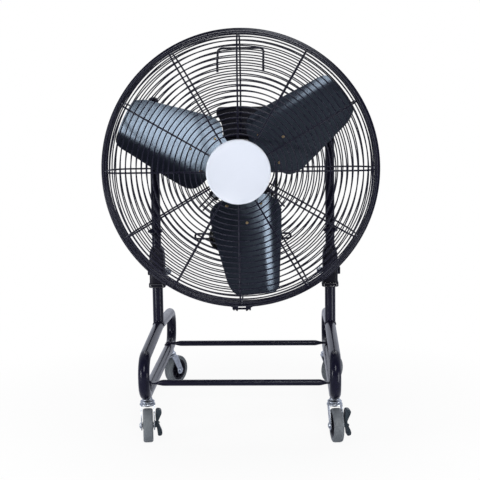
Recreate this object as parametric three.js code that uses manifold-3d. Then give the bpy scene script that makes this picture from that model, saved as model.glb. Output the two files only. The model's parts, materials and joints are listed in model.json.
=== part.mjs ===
// Mobile cage fan: a wire guard with a three-blade impeller, carried by two telescoping
// masts on a tube cart with four swivel casters.
// Millimetres. +Z up, +X to the right of someone who faces the fan, the fan blows towards -Y.
// The origin lies on the floor, under the middle of the cart.

import * as THREE from 'three';
import { mergeVertices } from 'three/addons/utils/BufferGeometryUtils.js';
import Module from 'manifold-3d';

const wasm = await Module();
wasm.setup();

// ---------------------------------------------------------------- driving dimensions

const SEAT = 0.3;                 // gap between pieces that touch

// cart
const FRAME_TUBE_D = 25.4;        // bent side frames
const SIDE_SPACING = 418;         // between the two side frames
const FRAME_LENGTH = 568;         // between front and rear legs
const FRAME_LOW_Z = 105;          // axis of the lower tube
const LEG_TOP_Z = 190;            // axis height where a leg turns into the ridge
const PEAK_Z = 209.5;             // axis height of the ridge under the upright
const FRAME_BEND_R = 40;
const BAR_D = 14;                 // cross bars
const BAR_INSET = 81;             // from a leg axis to the cross bar beside it
const BAR_FLAT_T = 3;             // flattened end
const BAR_FLAT_W = 19;
const BAR_TAPER = 24;             // length over which a bar flattens
const BAR_BOLT_D = 6;

// uprights, masts and collars
const MAST_D = 22;
const MAST_WALL = 1.5;
const MAST_BOTTOM_Z = 236;
const MAST_OVERRUN = 6;           // mast past its upper pad
const UPRIGHT_WALL = 1.4;
const UPRIGHT_TOP_Z = 372;
const COLLAR_WIDTH = 37;
const COLLAR_WALL = 4;            // in front of the upright
const COLLAR_TAIL = 29;           // from the upright's axis back to the clamp ears' end
const COLLAR_BOTTOM_Z = 305;
const COLLAR_TOP_Z = 403;
const COLLAR_LIP_H = 11;
const COLLAR_LIP_PROUD = 1.4;
const COLLAR_SLOT = 2.4;
const CLAMP_BOLT_D = 10;
const CLAMP_BOLT_Z = 340;

// casters
const WHEEL_D = 75;
const WHEEL_WIDTH = 22;
const HUB_D = 54;
const AXLE_D = 8;
const CASTER_TRAIL = 24;
const CASTER_INSET = 49;          // from a leg axis to the caster's pin
const FORK_GAP = 1.9;             // between the tyre's side and the fork
const FORK_PLATE = 2.5;
const CROWN_D = 37;
const CROWN_LOW_Z = 77.5;
const CROWN_TOP_Z = 84;
const KING_PIN_D = 10;
const CUP_D = 41;                 // ball race cup
const CASTERS = [
  { name: 'front_left', side: -1, end: -1, swivel: 8, brake: true },
  { name: 'front_right', side: 1, end: -1, swivel: 8, brake: true },
  { name: 'rear_left', side: -1, end: 1, swivel: 147, brake: false },
  { name: 'rear_right', side: 1, end: 1, swivel: 143, brake: false },
];

// guard
const FAN_RISE = 41;              // lower pads above the collars
const RIM_R = 320;                // outside of the clamp band
const BAND_DEPTH = 10;            // radial depth of the band's channel
const BAND_HALF_W = 7.5;
const BAND_WALL = 1.5;
const BAND_SPLIT = 18;            // gap between the clamp ears
const BAND_EAR_H = 9;
const BAND_BOLT_D = 5;
const SPOKE_D = 4.5;
const RING_WIRE_D = 3.5;
const RIM_WIRE_D = 5;
const SPOKE_COUNT = 12;
const RING_PITCH = 12;
const FIRST_RING_R = 83.5;
const SHOULDER_W = 49.45;         // from the flat face to the spokes' outer ends
const SHOULDER_DROP = 52;         // how far back the shoulder turns
const SPOKE_CHORD = 21;           // longest straight piece of a spoke round the shoulder
const FRONT_DEPTH = 88;           // rim plane to the front spokes
const REAR_DEPTH = 76;            // rim plane to the rear spokes
const FRONT_EYE_R = 60;           // ring that the front spokes end on
const REAR_EYE_R = 75;            // ring round the motor
const BADGE_R = 72;
const SADDLE_T = 6;               // pad between a mast and the rear guard
const U_BOLT_WIRE_R = 2.25;
const U_BOLT_PLACE = 0.5729;      // of the way across the gap between two rings

// impeller and motor
const BLADE_ROOT_R = 73;
const TIP_CLEARANCE = 19.45;      // blade tips to the spokes' outer ends
const BLADE_T = 2;
const RIVET_D = 8;
const HUB_R = 50;
const SHAFT_D = 16;
const MOTOR_R = 66;
const MOTOR_FRONT = -27;          // along the fan axis, rim plane at 0, front positive
const MOTOR_REAR = -98;
const LUG_R = 90;                 // motor bolts
const LUG_T = 6;
const MOUNT_WIRE_REACH = 138;     // outer end of the paired mounting wires
const MOTOR_BOLT_D = 6;

// switch box, cord and wires on the rear guard
const BOX_X = -17;
const BOX_Y = 106;
const BOX_W = 90;
const BOX_H = 74;
const BOX_DEPTH = 34;
const KNOB_R = 16;
const KNOB_Y = 110;               // its axis, above the fan axis
const KNOB_SHAFT_R = 3;
const KNOB_SHAFT_DEEP = 10;       // let into the box
const CORD_D = 7;
const CORD_TURN_GAP = 0.6;        // between neighbouring turns
const HANK_TURNS_PER_LAYER = 2;
const HANK_ARC_X = 45;            // centres of the two end arcs
const HANK_Y = -166;              // hank's middle, from the fan axis
const HANK_INNER_R = 21;
const HOOK_WIRE_D = 5;
const HOOK_REACH = 115;
const HANDLE_WIRE_D = 5.5;
const HANDLE_HALF_W = 54;
const HANDLE_INSET = 34;          // ends of its legs inside the flat face's edge
const HANDLE_H = 57;
const HANDLE_STAND_OFF = 34;

// ---------------------------------------------------------------- derived places

const FRAME_R = FRAME_TUBE_D / 2;
const SIDE_X = SIDE_SPACING / 2;
const LEG_Y = FRAME_LENGTH / 2;
const BAR_Y = LEG_Y - BAR_INSET;
const MAST_R = MAST_D / 2;
const UPRIGHT_INNER_R = MAST_R + SEAT;
const UPRIGHT_R = UPRIGHT_INNER_R + UPRIGHT_WALL;
const CLAMP_BOLT_Y = UPRIGHT_R + SEAT + 8;
const RING_LIFT = SPOKE_D / 2 + SEAT + RING_WIRE_D / 2;         // spoke axis to ring axis
const RING_OUTSIDE = RING_LIFT + RING_WIRE_D / 2;
const RIM_Y = -(MAST_R + SADDLE_T + 2 * SEAT + RING_OUTSIDE + REAR_DEPTH);
const SPOKE_END_R = RIM_R - BAND_DEPTH - SPOKE_D / 2 - SEAT;
const FLAT_R = SPOKE_END_R - SHOULDER_W;
const BLADE_TIP_R = SPOKE_END_R - TIP_CLEARANCE;
const U_HALF = MAST_R + SEAT + U_BOLT_WIRE_R;                   // mast axis to a U-bolt's leg
const LAST_GAP = Math.floor((FLAT_R - FIRST_RING_R) / RING_PITCH) - 1;       // outermost whole gap
const U_LEG_R = FIRST_RING_R + (LAST_GAP + U_BOLT_PLACE) * RING_PITCH;       // inner legs, fan axis
const SADDLE_RISE = Math.sqrt(U_LEG_R ** 2 - (SIDE_X - U_HALF) ** 2);        // pads from the fan axis
const FAN_Z = COLLAR_TOP_Z + FAN_RISE + SADDLE_RISE;            // height of the fan axis
const MAST_TOP_Z = FAN_Z + SADDLE_RISE + MAST_OVERRUN;
const HANDLE_LOW_Y = FLAT_R - HANDLE_INSET;
const HANDLE_TOP_Y = HANDLE_LOW_Y + HANDLE_H;
const RIM_WIRE_R = SPOKE_END_R + SPOKE_D / 2 + SEAT + RIM_WIRE_D / 2;
const RIM_WIRE_Z = RIM_WIRE_D / 2 + 0.5;
const GUARD_BACK = -(REAR_DEPTH + RING_OUTSIDE);                // outside of the rear rings
const WHEEL_R = WHEEL_D / 2;
const DEG = Math.PI / 180;

// ---------------------------------------------------------------- materials

const paint = (color, roughness, metalness) =>
  new THREE.MeshStandardMaterial({ color, roughness, metalness });
const blackPaint = paint(0x17171b, 0.28, 0.35);
const blackWire = paint(0x1c1c20, 0.35, 0.35);
const blackPlastic = paint(0x18181b, 0.5, 0);
const zinc = paint(0xb9bec4, 0.3, 0.9);
const greyRubber = paint(0x7c8488, 0.65, 0);
const bladePaint = paint(0x2e3745, 0.32, 0.45);
const badgeWhite = paint(0xdfe4f0, 0.35, 0);
const pedalPlastic = paint(0x2a333b, 0.45, 0);
const cordBlack = paint(0x141416, 0.55, 0);

// ---------------------------------------------------------------- solids

function toManifold(geometry) {
  const bare = geometry.clone();
  bare.deleteAttribute('normal');
  bare.deleteAttribute('uv');
  const merged = mergeVertices(bare, 1e-4);
  return new wasm.Manifold(new wasm.Mesh({
    numProp: 3,
    vertProperties: new Float32Array(merged.attributes.position.array),
    triVerts: new Uint32Array(merged.index.array),
  }));
}

function toGeometry(solid) {
  const mesh = solid.getMesh();
  const geometry = new THREE.BufferGeometry();
  geometry.setAttribute('position', new THREE.BufferAttribute(mesh.vertProperties, 3));
  geometry.setIndex(new THREE.BufferAttribute(mesh.triVerts, 1));
  return geometry;
}

function join(...geometries) {
  return toGeometry(geometries.map(toManifold).reduce((a, b) => a.add(b)));
}

function cut(geometry, ...tools) {
  return toGeometry(tools.map(toManifold).reduce((a, b) => a.subtract(b), toManifold(geometry)));
}

function rodZ(radius, low, high, sides = 16) {
  return new THREE.CylinderGeometry(radius, radius, high - low, sides)
    .rotateX(Math.PI / 2).translate(0, 0, (low + high) / 2);
}

function rodX(radius, low, high, sides = 12) {
  return new THREE.CylinderGeometry(radius, radius, high - low, sides)
    .rotateZ(Math.PI / 2).translate((low + high) / 2, 0, 0);
}

function rodY(radius, low, high, sides = 12) {
  return new THREE.CylinderGeometry(radius, radius, high - low, sides)
    .translate(0, (low + high) / 2, 0);
}

function block(x0, x1, y0, y1, z0, z1) {
  return new THREE.BoxGeometry(x1 - x0, y1 - y0, z1 - z0)
    .translate((x0 + x1) / 2, (y0 + y1) / 2, (z0 + z1) / 2);
}

// Radius of a many-sided hole whose flats still clear a round piece that turns in it.
function holeRadius(radius, sides) {
  return (radius + SEAT) / Math.cos(Math.PI / sides);
}

// Revolves [radius, height] pairs about Z.
function turned(profile, segments) {
  const points = profile.map(([r, z]) => new THREE.Vector2(r, z));
  return new THREE.LatheGeometry(points, segments).rotateX(Math.PI / 2);
}

function tubeProfile(inner, outer, low, high) {
  return [[inner, low], [outer, low], [outer, high], [inner, high], [inner, low]];
}

// A route through given stations: the sweep puts one section on each of them.
class Route extends THREE.Curve {
  constructor(stations) {
    super();
    this.stations = stations;
    this.last = stations.length - 1;
  }

  getUtoTmapping(u) {
    return u;
  }

  getPoint(t, target = new THREE.Vector3()) {
    const i = Math.min(Math.floor(t * this.last + 1e-9), this.last - 1);
    return target.lerpVectors(this.stations[i], this.stations[i + 1], t * this.last - i);
  }

  getTangent(t, target = new THREE.Vector3()) {
    const i = Math.round(t * this.last);
    const here = this.stations[i];
    const before = this.stations[Math.max(i - 1, 0)];
    const after = this.stations[Math.min(i + 1, this.last)];
    const ahead = after.clone().sub(here).normalize();
    return target.copy(here).sub(before).normalize().add(ahead).normalize();
  }
}

function polygonShape(radius, sides, turn = 0) {
  const corner = (k) => {
    const angle = turn + (2 * Math.PI * k) / sides;
    return new THREE.Vector2(radius * Math.cos(angle), radius * Math.sin(angle));
  };
  return new THREE.Shape(Array.from({ length: sides }, (_, k) => corner(k)));
}

function outlineShape(pairs) {
  return new THREE.Shape(pairs.map(([x, y]) => new THREE.Vector2(x, y)));
}

function swept(section, stations) {
  return new THREE.ExtrudeGeometry(section, {
    steps: stations.length - 1,
    extrudePath: new Route(stations),
    bevelEnabled: false,
  });
}

function sweep(stations, radius, sides, turn = 0) {
  return swept(polygonShape(radius, sides, turn), stations);
}

// Corner points joined by straight runs and round bends.
function bent(corners, radius, bendSteps) {
  const stations = [corners[0].clone()];
  for (let i = 1; i < corners.length - 1; i += 1) {
    const toPrevious = corners[i - 1].clone().sub(corners[i]).normalize();
    const toNext = corners[i + 1].clone().sub(corners[i]).normalize();
    const half = toPrevious.angleTo(toNext) / 2;
    const middle = toPrevious.clone().add(toNext).normalize();
    const centre = corners[i].clone().addScaledVector(middle, radius / Math.sin(half));
    const start = corners[i].clone().addScaledVector(toPrevious, radius / Math.tan(half));
    const spin = new THREE.Vector3().crossVectors(toNext, toPrevious).normalize();
    const sweepAngle = Math.PI - 2 * half;
    for (let k = 0; k <= bendSteps; k += 1) {
      const arm = start.clone().sub(centre).applyAxisAngle(spin, sweepAngle * (k / bendSteps));
      stations.push(arm.add(centre));
    }
  }
  stations.push(corners[corners.length - 1].clone());
  return stations;
}

const v3 = (x, y, z) => new THREE.Vector3(x, y, z);

// ---------------------------------------------------------------- assembly groups

const fan = new THREE.Group();            // everything that stays with the guard
fan.rotation.x = Math.PI / 2;             // local +Z points out of the front, local +Y up
fan.position.set(0, RIM_Y, FAN_Z);
const part = new THREE.Group();
part.add(fan);

function add(parent, name, geometry, material) {
  const mesh = new THREE.Mesh(geometry, material);
  mesh.name = name;
  parent.add(mesh);
  return mesh;
}

// ---------------------------------------------------------------- cart frame

const OVERLAP = 1;                // halves of one tube run into each other before they are joined

// One end of a side frame: half the ridge, a leg and half the lower tube.
function halfFrame(end, radius) {
  const ridge = v3(0, end * LEG_Y, LEG_TOP_Z).sub(v3(0, 0, PEAK_Z)).normalize();
  const corners = [
    v3(0, 0, PEAK_Z).addScaledVector(ridge, -OVERLAP),
    v3(0, end * LEG_Y, LEG_TOP_Z),
    v3(0, end * LEG_Y, FRAME_LOW_Z),
    v3(0, -end * OVERLAP, FRAME_LOW_Z),
  ];
  return sweep(bent(corners, FRAME_BEND_R, 3), radius, 8, Math.PI / 8);
}

function frameLoop(radius) {
  return join(halfFrame(-1, radius), halfFrame(1, radius));
}

// Fixed half of a caster's swivel: king pin with its head, ball race cup and the boss under the frame.
function kingPin() {
  const pin = KING_PIN_D / 2;
  const seat = CROWN_TOP_Z + SEAT;
  const boss = FRAME_LOW_Z - FRAME_R;
  return turned([[0, CROWN_LOW_Z - 4], [pin + 2.5, CROWN_LOW_Z - 3], [pin + 2.5, CROWN_LOW_Z - SEAT],
    [pin, CROWN_LOW_Z - SEAT], [pin, seat], [CUP_D / 2, seat], [pin + 5, boss], [pin + 5, boss + 3],
    [0, boss + 3]], 8);
}

function sideFrame() {
  const holes = [-1, 1].map((end) => rodZ(BAR_BOLT_D / 2 + SEAT, FRAME_LOW_Z, FRAME_LOW_Z + 2 * FRAME_R, 8)
    .translate(0, end * BAR_Y, 0));
  const pins = [-1, 1].map((end) => kingPin().translate(0, end * (LEG_Y - CASTER_INSET), 0));
  return cut(join(frameLoop(FRAME_R), ...pins), ...holes);
}

// The lower end of an upright is mitred to sit astride the ridge.
function upright() {
  const tube = turned(tubeProfile(UPRIGHT_INNER_R, UPRIGHT_R, PEAK_Z + 6, UPRIGHT_TOP_Z), 12);
  return cut(tube, frameLoop(FRAME_R + SEAT));
}

// Height of a bar's flattened end: level towards the middle, wrapped down over the tube outside.
function flatDrop(x) {
  const wrapR = FRAME_R + SEAT + BAR_FLAT_T / 2;
  const past = Math.max(x - SIDE_X, 0);
  return wrapR - Math.sqrt(wrapR * wrapR - past * past);
}

// Dome-headed bolt that runs through a bar's end into the lower tube.
function barBolt() {
  const head = FRAME_R + SEAT + BAR_FLAT_T;
  const r = BAR_BOLT_D / 2;
  return turned([[0, FRAME_R - 6], [r, FRAME_R - 6], [r, head - 0.5], [6.5, head - 0.5], [0, head + 4]], 8);
}

function crossBar() {
  const wrapR = FRAME_R + SEAT + BAR_FLAT_T / 2;
  const end = SIDE_X + FRAME_R * 0.85;
  const flatStart = SIDE_X - FRAME_R * 0.8;
  const half = [flatStart - BAR_TAPER, flatStart - BAR_TAPER * 0.5, flatStart, SIDE_X,
    (SIDE_X + end) / 2, end];
  const along = [...half.map((x) => -x).reverse(), ...half];
  const bar = new THREE.CylinderGeometry(BAR_D / 2, BAR_D / 2, 1, 8, along.length - 1);
  const place = bar.attributes.position;
  for (let i = 0; i < place.count; i += 1) {
    const step = Math.round((place.getY(i) + 0.5) * (along.length - 1));
    const x = along[step];
    const flat = THREE.MathUtils.smoothstep(Math.abs(x), flatStart - BAR_TAPER, flatStart);
    const wide = THREE.MathUtils.lerp(1, BAR_FLAT_W / BAR_D, flat);
    const thin = THREE.MathUtils.lerp(1, BAR_FLAT_T / BAR_D, flat);
    const drop = flatDrop(Math.abs(x));
    place.setXYZ(i, x, -place.getX(i) * wide, place.getZ(i) * thin + wrapR - drop);
  }
  const bolts = [-1, 1].map((side) => barBolt().translate(side * SIDE_X, 0, 0));
  return join(bar, ...bolts).translate(0, 0, FRAME_LOW_Z);
}

for (const [name, side] of [['left', -1], ['right', 1]]) {
  add(part, `side_frame_${name}`, sideFrame(), blackPaint).position.x = side * SIDE_X;
  add(part, `upright_${name}`, upright(), blackPaint).position.x = side * SIDE_X;
}
for (const [name, end] of [['front', -1], ['rear', 1]]) {
  add(part, `cross_bar_${name}`, crossBar(), blackPaint).position.y = end * BAR_Y;
}

// ---------------------------------------------------------------- collars and masts

function roundedBar(halfWidth, front, back, corner) {
  const shape = new THREE.Shape();
  shape.moveTo(-halfWidth + corner, -front);
  shape.lineTo(halfWidth - corner, -front);
  shape.absarc(halfWidth - corner, -front + corner, corner, -Math.PI / 2, 0, false);
  shape.lineTo(halfWidth, back - corner);
  shape.absarc(halfWidth - corner, back - corner, corner, 0, Math.PI / 2, false);
  shape.lineTo(-halfWidth + corner, back);
  shape.absarc(-halfWidth + corner, back - corner, corner, Math.PI / 2, Math.PI, false);
  shape.lineTo(-halfWidth, -front + corner);
  shape.absarc(-halfWidth + corner, -front + corner, corner, Math.PI, 1.5 * Math.PI, false);
  return shape;
}

function collarBlock(proud, low, high, bevel) {
  const shape = roundedBar(COLLAR_WIDTH / 2 - bevel + proud, UPRIGHT_R + COLLAR_WALL - bevel + proud,
    COLLAR_TAIL - bevel + proud, 7);
  return new THREE.ExtrudeGeometry(shape, {
    depth: high - low - 2 * bevel, curveSegments: 1,
    bevelEnabled: true, bevelThickness: bevel, bevelSize: bevel, bevelSegments: 1,
  }).translate(0, 0, low + bevel);
}

// Clamp collar: holds the mast in the upright, split behind, with a lip at its lower end.
function collar() {
  const body = join(
    collarBlock(0, COLLAR_BOTTOM_Z + 1, COLLAR_TOP_Z, 4),
    collarBlock(COLLAR_LIP_PROUD, COLLAR_BOTTOM_Z, COLLAR_BOTTOM_Z + COLLAR_LIP_H, 1.5),
  );
  const socket = rodZ(UPRIGHT_R + SEAT, COLLAR_BOTTOM_Z - 1, UPRIGHT_TOP_Z + SEAT, 12);
  const neck = rodZ(MAST_R + SEAT, COLLAR_BOTTOM_Z, COLLAR_TOP_Z + 1, 12);
  const slot = block(-COLLAR_SLOT / 2, COLLAR_SLOT / 2, 0, COLLAR_TAIL + 5,
    COLLAR_BOTTOM_Z - 1, COLLAR_TOP_Z + 1);
  const bolt = rodX(CLAMP_BOLT_D / 2 + SEAT, -COLLAR_WIDTH, COLLAR_WIDTH, 6)
    .translate(0, CLAMP_BOLT_Y, CLAMP_BOLT_Z);
  return cut(body, socket, neck, slot, bolt);
}

const hexRadius = (acrossFlats) => acrossFlats / Math.sqrt(3);
const CLAMP_HEAD_T = 6.4;
const CLAMP_NUT_T = 8;
const CLAMP_BOLT_END = 5;         // thread past the nut

// Pinch bolt with its nut run up.
function clampBolt(side) {
  const face = side * (COLLAR_WIDTH / 2 + SEAT);
  const tip = -side * (COLLAR_WIDTH / 2 + CLAMP_NUT_T + CLAMP_BOLT_END);
  const shank = rodX(CLAMP_BOLT_D / 2, Math.min(face, tip), Math.max(face, tip), 6);
  const hexagon = (from, thickness) => rodX(hexRadius(1.7 * CLAMP_BOLT_D),
    Math.min(from, from + thickness), Math.max(from, from + thickness), 6);
  const head = hexagon(face, side * CLAMP_HEAD_T);
  const nut = hexagon(-face, -side * CLAMP_NUT_T);
  return join(shank, head, nut).translate(side * SIDE_X, CLAMP_BOLT_Y, CLAMP_BOLT_Z);
}

for (const [name, side] of [['left', -1], ['right', 1]]) {
  add(part, `collar_${name}`, collar(), blackPlastic).position.x = side * SIDE_X;
  add(part, `clamp_bolt_${name}`, clampBolt(side), zinc);
}

// Mast tube, closed by a domed cap.
function mast() {
  const bore = MAST_R - MAST_WALL;
  return turned([[0, MAST_TOP_Z - 2], [bore, MAST_TOP_Z - 2], [bore, MAST_BOTTOM_Z], [MAST_R, MAST_BOTTOM_Z],
    [MAST_R, MAST_TOP_Z], [MAST_R + 0.6, MAST_TOP_Z], [MAST_R + 0.4, MAST_TOP_Z + 3],
    [MAST_R * 0.72, MAST_TOP_Z + 7], [0, MAST_TOP_Z + 9]], 12);
}

for (const [name, side] of [['left', -1], ['right', 1]]) {
  add(part, `mast_${name}`, mast(), blackPaint).position.x = side * SIDE_X;
}

// ---------------------------------------------------------------- casters

const FORK_INNER = WHEEL_WIDTH / 2 + FORK_GAP;
const FORK_OUTER = FORK_INNER + FORK_PLATE;
const FORK_TIP_R = 11;            // round end of a leg about the axle
const BRIDGE_FRONT = 9;           // plate between the legs, from the pin's axis
const BRIDGE_REAR = 14;
const AXLE_HEAD_T = 2.4;
const AXLE_NUT_T = 6;

// Fork leg in side view, swung back to the axle.
function forkPlate(side) {
  const shape = new THREE.Shape();
  shape.moveTo(BRIDGE_FRONT, CROWN_LOW_Z + 2);
  shape.lineTo(-BRIDGE_REAR, CROWN_LOW_Z + 2);
  shape.absarc(-CASTER_TRAIL, WHEEL_R, FORK_TIP_R, Math.PI, 2 * Math.PI + 0.3, false);
  const leg = new THREE.ExtrudeGeometry(shape, { depth: FORK_PLATE, bevelEnabled: false, curveSegments: 3 });
  // The outline is drawn as (y, z): turn it so that its thickness lies along X.
  leg.applyMatrix4(new THREE.Matrix4().makeBasis(v3(0, 1, 0), v3(0, 0, 1), v3(1, 0, 0)));
  leg.translate(FORK_INNER, 0, 0);
  return side > 0 ? leg : mirrored(leg);
}

function mirrored(geometry) {
  return toGeometry(toManifold(geometry).mirror([1, 0, 0]));
}

// Ears on the right fork leg that carry the brake pedal's pin.
const PEDAL_X = FORK_OUTER + SEAT + AXLE_HEAD_T + SEAT + 4.6;
const PEDAL_Z = 40;
const PEDAL_HALF_Y = 9;
const PEDAL_PIN_R = 2.2;

function pedalEars() {
  const y = -CASTER_TRAIL;
  const ear = (from) => block(FORK_INNER + 0.5, PEDAL_X + 4, y + from, y + from + 2,
    PEDAL_Z - 6, PEDAL_Z + 4);
  return join(ear(-PEDAL_HALF_Y - SEAT - 2), ear(PEDAL_HALF_Y + SEAT),
    rodY(PEDAL_PIN_R, y - PEDAL_HALF_Y - 2, y + PEDAL_HALF_Y + 2, 8).translate(PEDAL_X, 0, PEDAL_Z));
}

function fork(brake) {
  const crown = turned([[0, CROWN_LOW_Z], [CROWN_D / 2, CROWN_LOW_Z], [CROWN_D / 2, CROWN_LOW_Z + 3],
    [CROWN_D / 2 - 2.5, CROWN_TOP_Z], [0, CROWN_TOP_Z]], 8);
  const bridge = block(-FORK_OUTER, FORK_OUTER, -BRIDGE_REAR, BRIDGE_FRONT,
    CROWN_LOW_Z, CROWN_LOW_Z + FORK_PLATE);
  const solid = join(crown, bridge, forkPlate(1), forkPlate(-1), ...(brake ? [pedalEars()] : []));
  const pinHole = rodZ(holeRadius(KING_PIN_D / 2, 8), CROWN_LOW_Z - 1, CROWN_TOP_Z + 1, 8);
  const axleHole = rodX(AXLE_D / 2 + SEAT, -FORK_OUTER - 1, FORK_OUTER + 1, 6).rotateX(Math.PI / 6)
    .translate(0, -CASTER_TRAIL, WHEEL_R);
  return cut(solid, pinHole, axleHole);
}

// Wheel pieces are turned about Z and then laid on the axle.
function onAxle(geometry) {
  return geometry.rotateY(Math.PI / 2).translate(0, -CASTER_TRAIL, WHEEL_R);
}

function tyre() {
  const inner = HUB_D / 2 + SEAT;
  const half = WHEEL_WIDTH / 2;
  return onAxle(turned([[inner, -half], [WHEEL_R - 3.5, -half], [WHEEL_R, -half + 4.5],
    [WHEEL_R, half - 4.5], [WHEEL_R - 3.5, half], [inner, half], [inner, -half]], 16));
}

function wheelHub() {
  const rim = HUB_D / 2;
  const half = WHEEL_WIDTH / 2 - 1;
  const bore = AXLE_D / 2 + SEAT;
  return onAxle(turned([[bore, -half - 1.5], [rim, -half + 2], [rim, half - 2], [bore, half + 1.5],
    [bore, -half - 1.5]], 16));
}

function axleBolt() {
  const seat = FORK_OUTER + SEAT;
  const head = hexRadius(13);
  const [r, end] = [AXLE_D / 2, seat + AXLE_NUT_T];
  return turned([[0, -end - 1.5], [r, -end - 1.5], [r, -end], [head, -end], [head, -seat], [r, -seat],
    [r, seat], [head, seat], [head, seat + AXLE_HEAD_T], [0, seat + AXLE_HEAD_T]], 6)
    .rotateY(Math.PI / 2).translate(0, -CASTER_TRAIL, WHEEL_R);
}

// Rocker with an upper and a lower pad that flare away from the wheel.
function brakePedal() {
  const shape = new THREE.Shape();
  shape.moveTo(PEDAL_X - 4.5, PEDAL_Z);
  shape.lineTo(PEDAL_X + 1, PEDAL_Z + 29);
  shape.quadraticCurveTo(PEDAL_X + 6, PEDAL_Z + 33, PEDAL_X + 8.5, PEDAL_Z + 26);
  shape.quadraticCurveTo(PEDAL_X + 8, PEDAL_Z + 12, PEDAL_X + 4.2, PEDAL_Z);
  shape.quadraticCurveTo(PEDAL_X + 6.5, PEDAL_Z - 13, PEDAL_X + 9.5, PEDAL_Z - 22);
  shape.quadraticCurveTo(PEDAL_X + 8, PEDAL_Z - 29, PEDAL_X + 3, PEDAL_Z - 27);
  shape.closePath();
  const rocker = new THREE.ExtrudeGeometry(shape, {
    depth: 2 * PEDAL_HALF_Y, bevelEnabled: false, curveSegments: 3,
  }).rotateX(Math.PI / 2).translate(0, PEDAL_HALF_Y - CASTER_TRAIL, 0);
  const bore = rodY(PEDAL_PIN_R + SEAT, -PEDAL_HALF_Y - 1, PEDAL_HALF_Y + 1, 8)
    .translate(PEDAL_X, -CASTER_TRAIL, PEDAL_Z);
  return cut(rocker, bore);
}

function casterPlace({ side, end }) {
  return v3(side * SIDE_X, end * (LEG_Y - CASTER_INSET), 0);
}

for (const caster of CASTERS) {
  const group = new THREE.Group();
  group.position.copy(casterPlace(caster));
  group.rotation.z = caster.swivel * DEG;
  part.add(group);
  add(group, `fork_${caster.name}`, fork(caster.brake), zinc);
  add(group, `tyre_${caster.name}`, tyre(), greyRubber);
  add(group, `wheel_hub_${caster.name}`, wheelHub(), blackPlastic);
  add(group, `axle_bolt_${caster.name}`, axleBolt(), zinc);
  if (caster.brake) add(group, `brake_pedal_${caster.name}`, brakePedal(), pedalPlastic);
}

// ---------------------------------------------------------------- guard

const WELD_BITE = 0.8;            // the seat, and how far the eye and the rim are let into the spokes
const SPOKE_BITE = 1.7;           // the same for the fused spoke, which follows the rings in chords
const WELD_EVERY = 12;            // one spoke is fused to every ring, the others to eye and rim

// Outline of one half of the guard, from the spokes' inner ends to the rim, as (radius, depth).
function guardOutline(innerR, depth) {
  const shoulder = SPOKE_END_R - FLAT_R;
  const outline = new THREE.Path();
  outline.moveTo(innerR, depth);
  outline.lineTo(FLAT_R, depth);
  outline.bezierCurveTo(FLAT_R + 0.7 * shoulder, depth, SPOKE_END_R, depth - 0.57 * SHOULDER_DROP,
    SPOKE_END_R, depth - SHOULDER_DROP);
  outline.lineTo(SPOKE_END_R, 1.5);
  return outline;
}

// Spoke with its flat side to the rings; lift raises that side so that it meets them.
function spoke(innerR, depth, lift) {
  const [flat, shoulder, skirt] = guardOutline(innerR, depth).curves;
  const chords = Math.ceil(shoulder.getLength() / SPOKE_CHORD);
  const bends = Array.from({ length: chords - 1 }, (_, k) => shoulder.getPoint((k + 1) / chords));
  const end = skirt.getPoint(1);
  if (lift > 0) end.y = BAND_HALF_W + 1;             // the raised spoke stops above the clamp band
  const points = [flat.getPoint(0), flat.getPoint(1), ...bends, skirt.getPoint(0), end];
  const r = SPOKE_D / 2;
  const section = outlineShape([[r, 0], [-r - lift, r], [-r - lift, -r]]);
  return swept(section, points.map((p) => v3(p.x, 0, p.y)));
}

// Ring of wire on the outside of the spokes. Its three-sided section is as high and as wide as the
// wire and turns its edge to the spokes; (outX, outY) points away from them.
function wireRing(radius, depth, outX, outY, wireR, segments) {
  const corner = (away, aside) => [radius + wireR * (away * outX - aside * outY),
    depth + wireR * (away * outY + aside * outX)];
  return turned([corner(-1, 0), corner(1, -1), corner(1, 1), corner(-1, 0)], segments);
}

function guardRings(innerR, depth) {
  const outline = guardOutline(innerR, depth);
  const length = outline.getLength();
  const rings = [];
  for (let s = FIRST_RING_R - innerR; s < length - RING_PITCH; s += RING_PITCH) {
    const at = outline.getPointAt(s / length);
    const along = outline.getTangentAt(s / length);
    const flat = at.x < FLAT_R;
    const segments = flat ? 18 : 24;
    // A ring on the flat face lies half outside and half inside the circle that it stands for.
    const spread = flat ? 2 / (1 + Math.cos(Math.PI / segments)) : 1;
    const radius = at.x * spread - along.y * RING_LIFT;
    rings.push(wireRing(radius, at.y + along.x * RING_LIFT, -along.y, along.x, RING_WIRE_D / 2, segments));
  }
  return rings;
}

function guard(innerR, depth) {
  const spokes = Array.from({ length: SPOKE_COUNT }, (_, k) =>
    spoke(innerR, depth, k % WELD_EVERY === 0 ? SPOKE_BITE : 0).rotateZ((2 * Math.PI * k) / SPOKE_COUNT));
  const eye = wireRing(innerR + 3, depth + RING_LIFT - WELD_BITE, 0, 1, RING_WIRE_D / 2, 12);
  const rim = wireRing(RIM_WIRE_R - WELD_BITE, RIM_WIRE_Z, 1, 0, RIM_WIRE_D / 2, 24);
  return [...spokes, ...guardRings(innerR, depth), eye, rim];
}

// Pairs of short wires at the diagonals that the motor's lugs are bolted to.
const MOUNT_ANGLES = [45, 135, 225, 315];
const MOUNT_WIRE_HALF_GAP = 5.6;

function mountWires() {
  return MOUNT_ANGLES.flatMap((angle) => [-1, 1].map((side) =>
    rodX(SPOKE_D / 2, REAR_EYE_R, MOUNT_WIRE_REACH, 4)
      .translate(0, side * MOUNT_WIRE_HALF_GAP, REAR_DEPTH).rotateZ(angle * DEG)));
}

function flipped(geometry) {
  return geometry.rotateY(Math.PI);
}

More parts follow.
